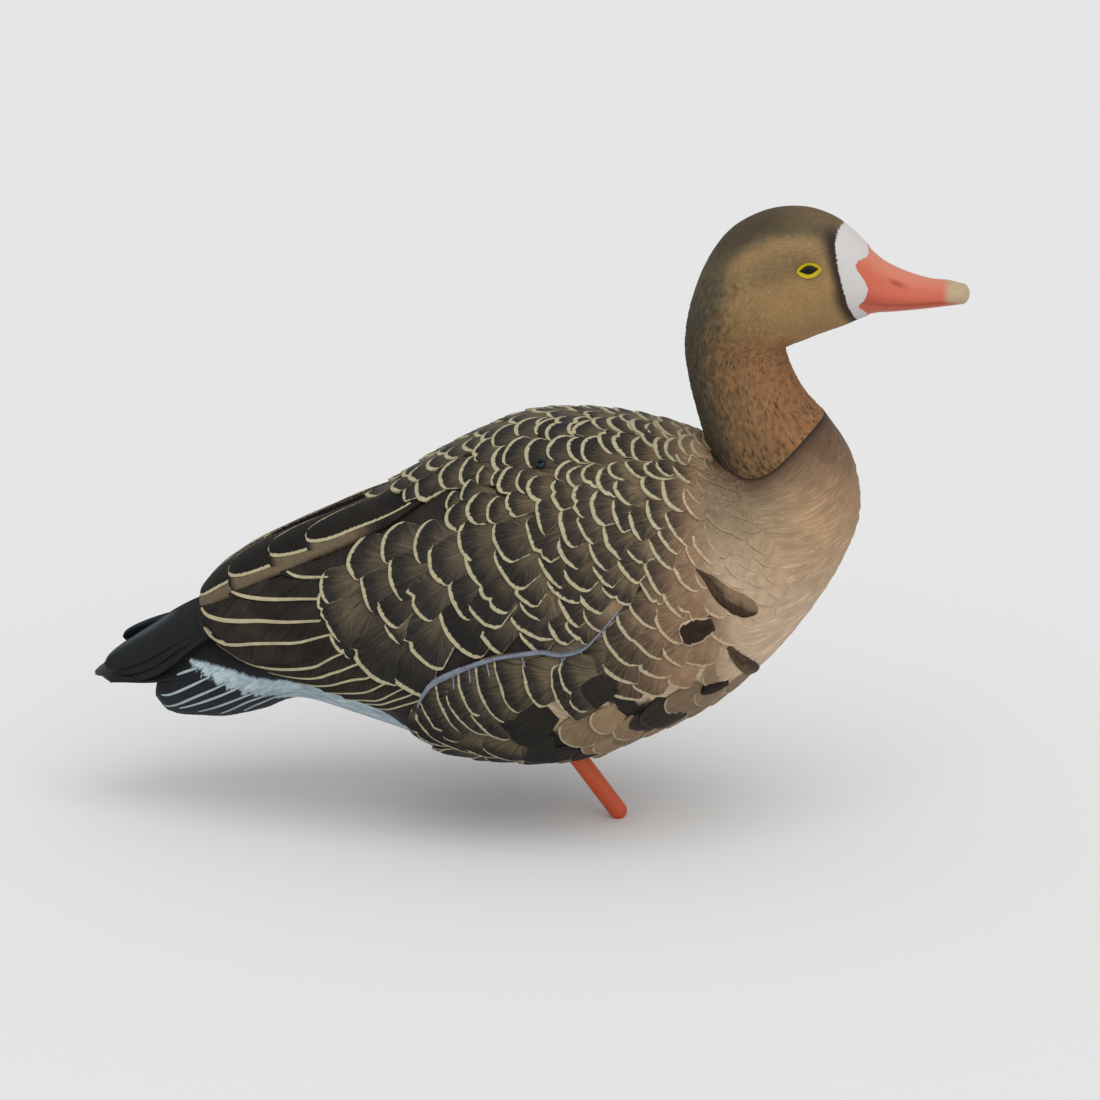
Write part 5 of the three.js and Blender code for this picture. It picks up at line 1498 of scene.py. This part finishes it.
# Head paint: matt flocked acrylic on the feathers, brushed white blaze, satin bill. border holds, in mm,
# how far a place is past the blaze's rear edge, the bill's base and the nail's edge.
def makeHeadPaint():
    finish, tree, shader = newFinish("mattHeadPaint")
    coat = addNode(tree, "Attribute", {"attribute_name": "coat"}).outputs["Color"]
    horn = addNode(tree, "Attribute", {"attribute_name": "horn"}).outputs["Color"]
    border = addNode(tree, "Attribute", {"attribute_name": "border"}).outputs["Vector"]
    down = addNode(tree, "Attribute", {"attribute_name": "down"}).outputs["Vector"]
    parts = addNode(tree, "SeparateXYZ", links={"Vector": border})
    place = addNode(tree, "TexCoord").outputs["Object"]
    ragged = addNode(tree, "TexNoise", {"Scale": 600.0, "Detail": 2.0}, {"Vector": place})
    masks = []
    for axis, softness, wobble in (("X", 0.5, 1.5), ("Y", 0.5, 0.9), ("Z", 4.5, 1.5)):
        shift = mapRange(tree, ragged.outputs[0], 0.3, 0.7, -wobble / 2, wobble / 2)
        moved = addNode(tree, "Math", {"operation": "ADD"}, {0: parts.outputs[axis], 1: shift.outputs[0]})
        masks.append(addNode(tree, "MapRange", {"From Min": -softness, "From Max": softness,
                                                "interpolation_type": "SMOOTHSTEP"},
                             {"Value": moved.outputs[0]}))
    fine = addNode(tree, "Mapping", {"Scale": (0.22, 1.1, 1.0)}, {"Vector": down})
    hairs = addNode(tree, "TexNoise", {"Scale": 1.0, "Detail": 5.0, "Roughness": 0.65},
                    {"Vector": fine.outputs[0]})
    shade = mapRange(tree, hairs.outputs[0], 0.3, 0.7, 0.72, 1.28)
    flock = addNode(tree, "TexNoise", {"Scale": 1400.0, "Detail": 2.0}, {"Vector": place})
    haired = addNode(tree, "Mix", {"data_type": "RGBA", "blend_type": "MULTIPLY", "Factor": 1.0})
    tree.links.new(coat, haired.inputs[6])
    tree.links.new(shade.outputs[0], haired.inputs[7])
    layer = haired.outputs[2]
    white = mapRange(tree, flock.outputs[0], 0.3, 0.7, 0.9, 1.06)
    whiteCoat = addNode(tree, "Mix", {"data_type": "RGBA", "blend_type": "MULTIPLY", "Factor": 1.0})
    whiteCoat.inputs[6].default_value = (*linear(headPaint["white"]), 1)
    tree.links.new(white.outputs[0], whiteCoat.inputs[7])
    nailColour = (*linear(headPaint["nail"]), 1)
    for mask, colour in zip(masks, (whiteCoat.outputs[2], horn, nailColour)):
        over = addNode(tree, "Mix", {"data_type": "RGBA"}, {"Factor": mask.outputs[0]})
        tree.links.new(layer, over.inputs[6])
        if isinstance(colour, tuple):
            over.inputs[7].default_value = colour
        else:
            tree.links.new(colour, over.inputs[7])
        layer = over.outputs[2]
    tree.links.new(layer, shader.inputs["Base Color"])
    gloss = addNode(tree, "MapRange", {"To Min": 0.85, "To Max": 0.46}, {"Value": masks[1].outputs[0]})
    tree.links.new(gloss.outputs[0], shader.inputs["Roughness"])
    calm = addNode(tree, "MapRange", {"To Min": 1.0, "To Max": 0.15}, {"Value": masks[1].outputs[0]})
    both = addNode(tree, "Math", {"operation": "ADD"}, {0: hairs.outputs[0], 1: flock.outputs[0]})
    height = addNode(tree, "Math", {"operation": "MULTIPLY"}, {0: both.outputs[0], 1: calm.outputs[0]})
    bump = addNode(tree, "Bump", {"Strength": 0.55, "Distance": 0.3 * mm}, {"Height": height.outputs[0]})
    tree.links.new(bump.outputs[0], shader.inputs["Normal"])
    shader.inputs["Specular IOR Level"].default_value = 0.3
    return finish


def makeHead():
    rows, columns = neck["rows"], neck["columns"]
    s = np.linspace(0, 1, rows)[:, None] + np.zeros(columns)
    th = np.linspace(0, 2 * np.pi, columns, endpoint=False) + np.zeros((rows, 1))
    around = fromTop(th)
    ticks = neckTicks(s, th)
    folds = 0.5 * np.sin(around * 26 + 1.4 * softNoise(s * 60, around * 9, 72)) * (1 - smooth(s, 0.18, 0.32))
    relief = headRelief(s, th) - neck["tickDepth"] * ticks + 0.6 * folds * smooth(s, 0.0, 0.02)
    relief = relief + 0.25 * softNoise(s * 300, around * 40, 73) * (1 - smooth(s, 0.25, 0.5))
    points = lifted(headAndNeck, s, th, relief * mm)
    # the foot sits in the body's own seat, 0.6 mm clear of it
    top, bottom = np.array(headAndNeck["top"][0]), np.array(headAndNeck["bottom"][0])
    foot = (bottom - top) / np.linalg.norm(bottom - top)
    rise = np.array([-foot[1], 0, foot[0]])
    points = points + rise * 0.6 * mm * (1 - smooth(s, 0.0, 0.03))[..., None]
    seat = [formPoint(headAndNeck, np.zeros(columns), th[0], inward) + rise * 0.6 * mm
            for inward in (0.4, 0.8, 0.98)]
    front = (formPoint(headAndNeck, 1.0, 0.0) + formPoint(headAndNeck, 1.0, np.pi)) / 2
    nose = np.array([4.9 * mm, 0, 0])
    tipRing = points[-1]
    domes = [front + (tipRing - front) * math.cos(turn) + nose * math.sin(turn)
             for turn in (0.3, 0.6, 0.9, 1.15, 1.38)]
    grid = np.concatenate([seat, points, domes])
    count = len(grid)
    sAll = np.concatenate([np.zeros((3, columns)), s, np.ones((5, columns))])
    thAll = np.broadcast_to(th[0], (count, columns))
    ticksAll = np.concatenate([np.zeros((3, columns)), ticks, np.zeros((5, columns))])
    around = fromTop(thAll)
    coat = headColour(sAll, thAll, ticksAll)
    scale = np.interp(sAll, [0.5, 0.6, 0.7], [300, 250, 190])
    blaze = (sAll - np.interp(around, blazeTh, blazeS)) * scale
    bill = (sAll - np.interp(around, billTh, billS)) * scale
    nail = (sAll - 0.93) * 215 - 9 * smooth(around, 1.7, 2.3)
    # the bill is painted lighter on top and darker low down: painted light and shade
    horn = mix(headPaint["billLitTop"], headPaint["bill"], smooth(around, 0.5, 1.2))
    horn = mix(horn, headPaint["billShadedLow"], smooth(around, 1.45, 2.1))
    # painted shade in the mouth's groove and in the nostril pits
    horn = mix(horn, "#8d3f2c", 0.35 * mouthLine(sAll, thAll))
    horn = mix(horn, "#8a3d2c", 0.5 * nostrilPit(sAll, thAll))
    horn = mix(horn, headPaint["bill"], 0.8 * smooth(around, 1.9, 2.3))
    down = np.stack([sAll * 440, around * 40, 0 * sAll], -1)
    tips = np.array([formPoint(headAndNeck, 0.0, 0.0, 0.0) + rise * 0.6 * mm, front + nose])
    pole = {"coat": np.tile(linear(headPaint["neckBack"]), (2, 1)),
            "horn": np.tile(linear(headPaint["nail"]), (2, 1)),
            "border": np.array([[-50.0, -50, -50], [50, 50, 50]]), "down": np.zeros((2, 3))}
    grids = {"coat": coat, "horn": horn, "border": np.stack([blaze, bill, nail], -1), "down": down}
    values = {label: np.concatenate([data.reshape(-1, 3), pole[label]]) for label, data in grids.items()}
    makePiece("headAndNeckSkin", np.concatenate([grid.reshape(-1, 3), tips]), skinFaces(count, columns),
              makeHeadPaint(), "head_paint", "head_and_neck", values)


makeHead()

eye = {"s": 0.477, "th": 1.47, "length": 18.4, "height": 11.4, "bulge": 2.2, "ring": "#c2ab12",
       "ringEdgeShade": "#665710",
       "lens": "#040303", "lensLength": 0.7, "lensHeight": 0.5, "lensUp": 0.1}


# Eyes: low ovals in their sockets. Out from the middle: the dark lens, a groove, the raised yellow ring,
# and a rim that goes under the skin. The oval's own radius r gives height and colour.
def makeEyes():
    finish, tree, shader = newFinish("glossEyePaint")
    coat = addNode(tree, "Attribute", {"attribute_name": "coat"}).outputs["Color"]
    fleck = addNode(tree, "TexNoise", {"Scale": 1800.0, "Detail": 2.0},
                    {"Vector": addNode(tree, "TexCoord").outputs["Object"]})
    tone = mapRange(tree, fleck.outputs[0], 0.3, 0.7, 0.8, 1.15)
    flecked = addNode(tree, "Mix", {"data_type": "RGBA", "blend_type": "MULTIPLY", "Factor": 1.0})
    tree.links.new(coat, flecked.inputs[6])
    tree.links.new(tone.outputs[0], flecked.inputs[7])
    tree.links.new(flecked.outputs[2], shader.inputs["Base Color"])
    shader.inputs["Roughness"].default_value = 0.35
    shader.inputs["Specular IOR Level"].default_value = 0.2
    rings, columns = 40, 96
    r = np.linspace(0.02, 1, rings)[:, None]
    turn = np.linspace(0, 2 * np.pi, columns, endpoint=False)[None]
    x = r * np.cos(turn) * eye["length"] / 2
    y = r * np.sin(turn) * eye["height"] / 2 * (1 - 0.25 * np.abs(np.cos(turn)) ** 3)
    # the lens is an almond: pointed at both ends, a little above the middle
    across = np.abs(r * np.cos(turn)) / eye["lensLength"]
    lens = across ** 2 + np.abs(r * np.sin(turn) - eye["lensUp"]) / eye["lensHeight"]
    height = np.where(lens < 1, 1.0 + 0.9 * np.sqrt(np.clip(1 - lens ** 2, 0, 1)), 1.0) * eye["bulge"] * 0.55
    height = height + 0.5 * np.exp(-((r - 0.82) / 0.09) ** 2) - 1.9 * smooth(r, 0.86, 1.0)
    height = height - 0.5 * np.exp(-((lens - 1.03) / 0.06) ** 2)
    colour = mix(np.broadcast_to(linear(eye["lens"]), (rings, columns, 3)), eye["ring"],
                 smooth(lens, 0.95, 1.08))
    # painted shade where the ring's rim sinks under the skin
    colour = mix(colour, eye["ringEdgeShade"], smooth(r + 0 * turn, 0.9, 1.0))
    bodies = []
    for side in (1, -1):
        atS, atTh = np.array([eye["s"]]), np.array([side * eye["th"]])
        out = formSlopes(headAndNeck, atS, atTh)[2][0]
        seat = lifted(headAndNeck, atS, atTh, headRelief(atS, atTh) * mm)[0]
        forward = np.array([1, 0, 0.14]) - out * np.dot([1, 0, 0.14], out)
        forward /= np.linalg.norm(forward)
        up = np.cross(out, forward) * (1 if np.cross(out, forward)[2] > 0 else -1)
        grid = seat + (x[..., None] * forward + y[..., None] * up + height[..., None] * out) * mm
        grid = grid[::-1]
        tips = np.array([seat - 2.5 * mm * out, seat + (eye["bulge"] * 0.55 * 1.9) * mm * out])
        values = {"coat": np.concatenate([colour[::-1].reshape(-1, 3),
                                          [linear(eye["ringEdgeShade"]), linear(eye["lens"])]])}
        faces = skinFaces(rings, columns)
        if side < 0:
            faces = [block[:, ::-1] for block in faces]
        bodies.append((np.concatenate([grid.reshape(-1, 3), tips]), faces, values))
    body = joined(bodies)
    makePiece("eyes", *body[:2], finish, "head_paint", "head_and_neck", body[2], crease=60)


makeEyes()

leg = {"diameter": 13.0, "reach": 57.0, "lean": 37.0, "flat": 7.0, "socket": 26.0, "colour": "#d45c28",
       "low": "#bf4820",
       "seamHeight": 0.12}


# Leg post: a profile turned about its leaning axis, its lower end rounded to a small flat.
def makeLeg():
    # ABS, moulded: smooth, slightly waxy, faint scuffs
    finish, tree, shader = newFinish("mouldedOrangePlastic")
    coat = addNode(tree, "Attribute", {"attribute_name": "coat"}).outputs["Color"]
    place = addNode(tree, "TexCoord").outputs["Object"]
    scuffs = addNode(tree, "TexNoise", {"Scale": 240.0, "Detail": 5.0, "Roughness": 0.65}, {"Vector": place})
    tone = mapRange(tree, scuffs.outputs[0], 0.3, 0.7, 0.9, 1.08)
    scuffed = addNode(tree, "Mix", {"data_type": "RGBA", "blend_type": "MULTIPLY", "Factor": 1.0})
    tree.links.new(coat, scuffed.inputs[6])
    tree.links.new(tone.outputs[0], scuffed.inputs[7])
    tree.links.new(scuffed.outputs[2], shader.inputs["Base Color"])
    rough = mapRange(tree, scuffs.outputs[0], 0.35, 0.65, 0.38, 0.52)
    tree.links.new(rough.outputs[0], shader.inputs["Roughness"])
    bump = addNode(tree, "Bump", {"Strength": 0.2, "Distance": 0.1 * mm}, {"Height": scuffs.outputs[0]})
    tree.links.new(bump.outputs[0], shader.inputs["Normal"])
    radius = leg["diameter"] / 2
    ballHeight = math.sqrt(radius ** 2 - (leg["flat"] / 2) ** 2)
    low = np.linspace(-math.pi / 2, 0, 20)[1:]
    top = leg["reach"] + leg["socket"]
    along = np.concatenate([radius * np.sin(low), np.linspace(2, top - 0.6, 40), [top - 0.2, top]])
    wide = np.concatenate([radius * np.cos(low), np.full(40, radius), [radius - 0.2, radius - 0.6]])
    turn = np.linspace(0, 2 * np.pi, 72, endpoint=False)
    seam = leg["seamHeight"] * (np.exp(-(np.sin(turn) / 0.06) ** 2))
    lean = math.radians(leg["lean"])
    axis = np.array([-math.sin(lean), 0, math.cos(lean)])
    sideways, ahead = np.array([0, 1.0, 0]), np.array([math.cos(lean), 0, math.sin(lean)])
    ringRadius = wide[:, None] + seam[None] * (along[:, None] > 0)
    grid = (np.array([0, 0, ballHeight]) + along[:, None, None] * axis
            + ringRadius[..., None] * (np.cos(turn)[None, :, None] * ahead
                                       + np.sin(turn)[None, :, None] * sideways))
    tips = np.array([[0, 0, ballHeight] - radius * axis, [0, 0, ballHeight] + top * axis])
    grid[..., 2], tips[:, 2] = np.maximum(grid[..., 2], 0), np.maximum(tips[:, 2], 0)
    # darker toward the lower end: painted shade
    share = smooth(along, 0, leg["reach"])[:, None] + 0 * turn
    coat = np.concatenate([mix(leg["low"], leg["colour"], share).reshape(-1, 3),
                           np.tile(linear(leg["colour"]), (2, 1))])
    makePiece("legPost", np.concatenate([grid.reshape(-1, 3), tips]) * mm, skinFaces(len(along), 72), finish,
              "leg_orange", "leg_post", {"coat": coat})


makeLeg()

screw = {"s": 0.409, "th": 0.655, "head": 7.0, "shank": 3.2, "length": 12.0, "dome": 2.24,
         "slot": 1.0, "slotDepth": 1.3}


# Back screw: a domed head turned about the surface's direction, with a cross recess cut into the dome.
def makeScrew():
    finish, tree, shader = newFinish("blackOxideSteel")  # oxidised steel: dark with a bluish glint
    place = addNode(tree, "TexCoord").outputs["Object"]
    wear = addNode(tree, "TexNoise", {"Scale": 900.0, "Detail": 4.0}, {"Vector": place})
    tone = addNode(tree, "MapRange", {"From Min": 0.35, "From Max": 0.65}, {"Value": wear.outputs[0]})
    steel = addNode(tree, "Mix", {"data_type": "RGBA"}, {"Factor": tone.outputs[0]})
    steel.inputs[6].default_value = (*linear("#15191f"), 1)
    steel.inputs[7].default_value = (*linear("#39434d"), 1)
    tree.links.new(steel.outputs[2], shader.inputs["Base Color"])
    rough = addNode(tree, "MapRange", {"To Min": 0.28, "To Max": 0.5}, {"Value": wear.outputs[0]})
    tree.links.new(rough.outputs[0], shader.inputs["Roughness"])
    shader.inputs["Metallic"].default_value = 0.9
    bump = addNode(tree, "Bump", {"Strength": 0.15, "Distance": 0.05 * mm}, {"Height": wear.outputs[0]})
    tree.links.new(bump.outputs[0], shader.inputs["Normal"])
    atS, atTh = np.array([screw["s"]]), np.array([screw["th"]])
    out = formSlopes(torso, atS, atTh)[2][0]
    seat = lifted(torso, atS, atTh, np.array([2.1]) * mm)[0]
    one = np.cross(out, [0, 1, 0])
    one /= np.linalg.norm(one)
    two = np.cross(out, one)
    turn = np.linspace(0, 2 * np.pi, 48, endpoint=False)[None]
    radius = screw["head"] / 2
    r = np.concatenate([np.full(2, screw["shank"] / 2), np.linspace(radius, 0.12, 22)])[:, None]
    angle = np.arccos(np.clip(r / radius, 0, 1))
    high = screw["dome"] * np.sin(angle) - 0.9
    high[0], high[1] = -screw["length"] - 2, -0.9
    x, y = r * np.cos(turn), r * np.sin(turn)
    inSlot = np.maximum(1 - smooth(np.abs(x), screw["slot"] * 0.4, screw["slot"] * 0.55),
                        1 - smooth(np.abs(y), screw["slot"] * 0.4,
                                   screw["slot"] * 0.55)) * (1 - smooth(r, 1.9, 2.2))
    depth = screw["slotDepth"] * inSlot * (np.arange(24) > 2)[:, None]
    grid = seat + (x[..., None] * one + y[..., None] * two + (high - depth)[..., None] * out) * mm
    tips = np.array([seat - (screw["length"] + 2) * mm * out,
                     seat + (screw["dome"] - 0.9 - screw["slotDepth"]) * mm * out])
    makePiece("backScrew", np.concatenate([grid.reshape(-1, 3), tips]), skinFaces(24, 48), finish,
              "screw_steel", "back_screw", {}, crease=35)


makeScrew()
print("pieces done")

studio = {"floor": "#e6e6e6", "sky": 0.66, "sunAcross": 70.0, "sun": 0.34, "sunFrom": (0.35, -0.75, 1.0)}


# A plain pale floor under an even sky and one very wide soft light from above and in front. Sky and light
# together give the floor its own colour.
def makeStudio():
    finish, tree, shader = newFinish("paleFloor")
    shader.inputs["Base Color"].default_value = (*linear(studio["floor"]), 1)
    shader.inputs["Roughness"].default_value = 0.95
    shader.inputs["Specular IOR Level"].default_value = 0.0
    mesh = bpy.data.meshes.new("floor")
    mesh.from_pydata([(-30, -30, 0), (30, -30, 0), (30, 30, 0), (-30, 30, 0)], [], [(0, 1, 2, 3)])
    mesh.materials.append(finish)
    floor = bpy.data.objects.new("floor", mesh)
    bpy.context.scene.collection.objects.link(floor)
    world = bpy.data.worlds.new("softSky")
    world.use_nodes = True
    world.node_tree.nodes["Background"].inputs["Color"].default_value = (1, 1, 1, 1)
    world.node_tree.nodes["Background"].inputs["Strength"].default_value = studio["sky"]
    bpy.context.scene.world = world
    data = bpy.data.lights.new("softSun", "SUN")
    data.angle = math.radians(studio["sunAcross"])
    toward = Vector(studio["sunFrom"]).normalized()
    data.energy = studio["sun"] * math.pi / toward.z
    lamp = bpy.data.objects.new("softSun", data)
    lamp.rotation_euler = toward.to_track_quat("Z", "Y").to_euler()
    bpy.context.scene.collection.objects.link(lamp)


makeStudio()

camera = {"aside": (0.0013, -0.02), "lens": 140.26}


# The camera looks along the photograph's direction at the middle of its frame.
def makeCamera():
    turn, rise = math.radians(photo["round"]), math.radians(photo["up"])
    toward = Vector((math.sin(turn) * math.cos(rise), -math.cos(turn) * math.cos(rise), math.sin(rise)))
    right = Vector((math.cos(turn), math.sin(turn), 0))
    up = toward.cross(right)
    data = bpy.data.cameras.new("camera")
    data.lens, data.sensor_width = camera["lens"], 36
    data.clip_end = 100
    view = bpy.data.objects.new("camera", data)
    spot = Vector(photo["aim"]) * mm + right * camera["aside"][0] + up * camera["aside"][1]
    turned = Matrix((right, up, toward)).transposed().to_4x4()
    view.matrix_world = Matrix.Translation(spot + toward * photo["distance"] * mm) @ turned
    bpy.context.scene.collection.objects.link(view)
    bpy.context.scene.camera = view


makeCamera()
bpy.context.scene.view_settings.view_transform = "Standard"
print("studio and camera done")
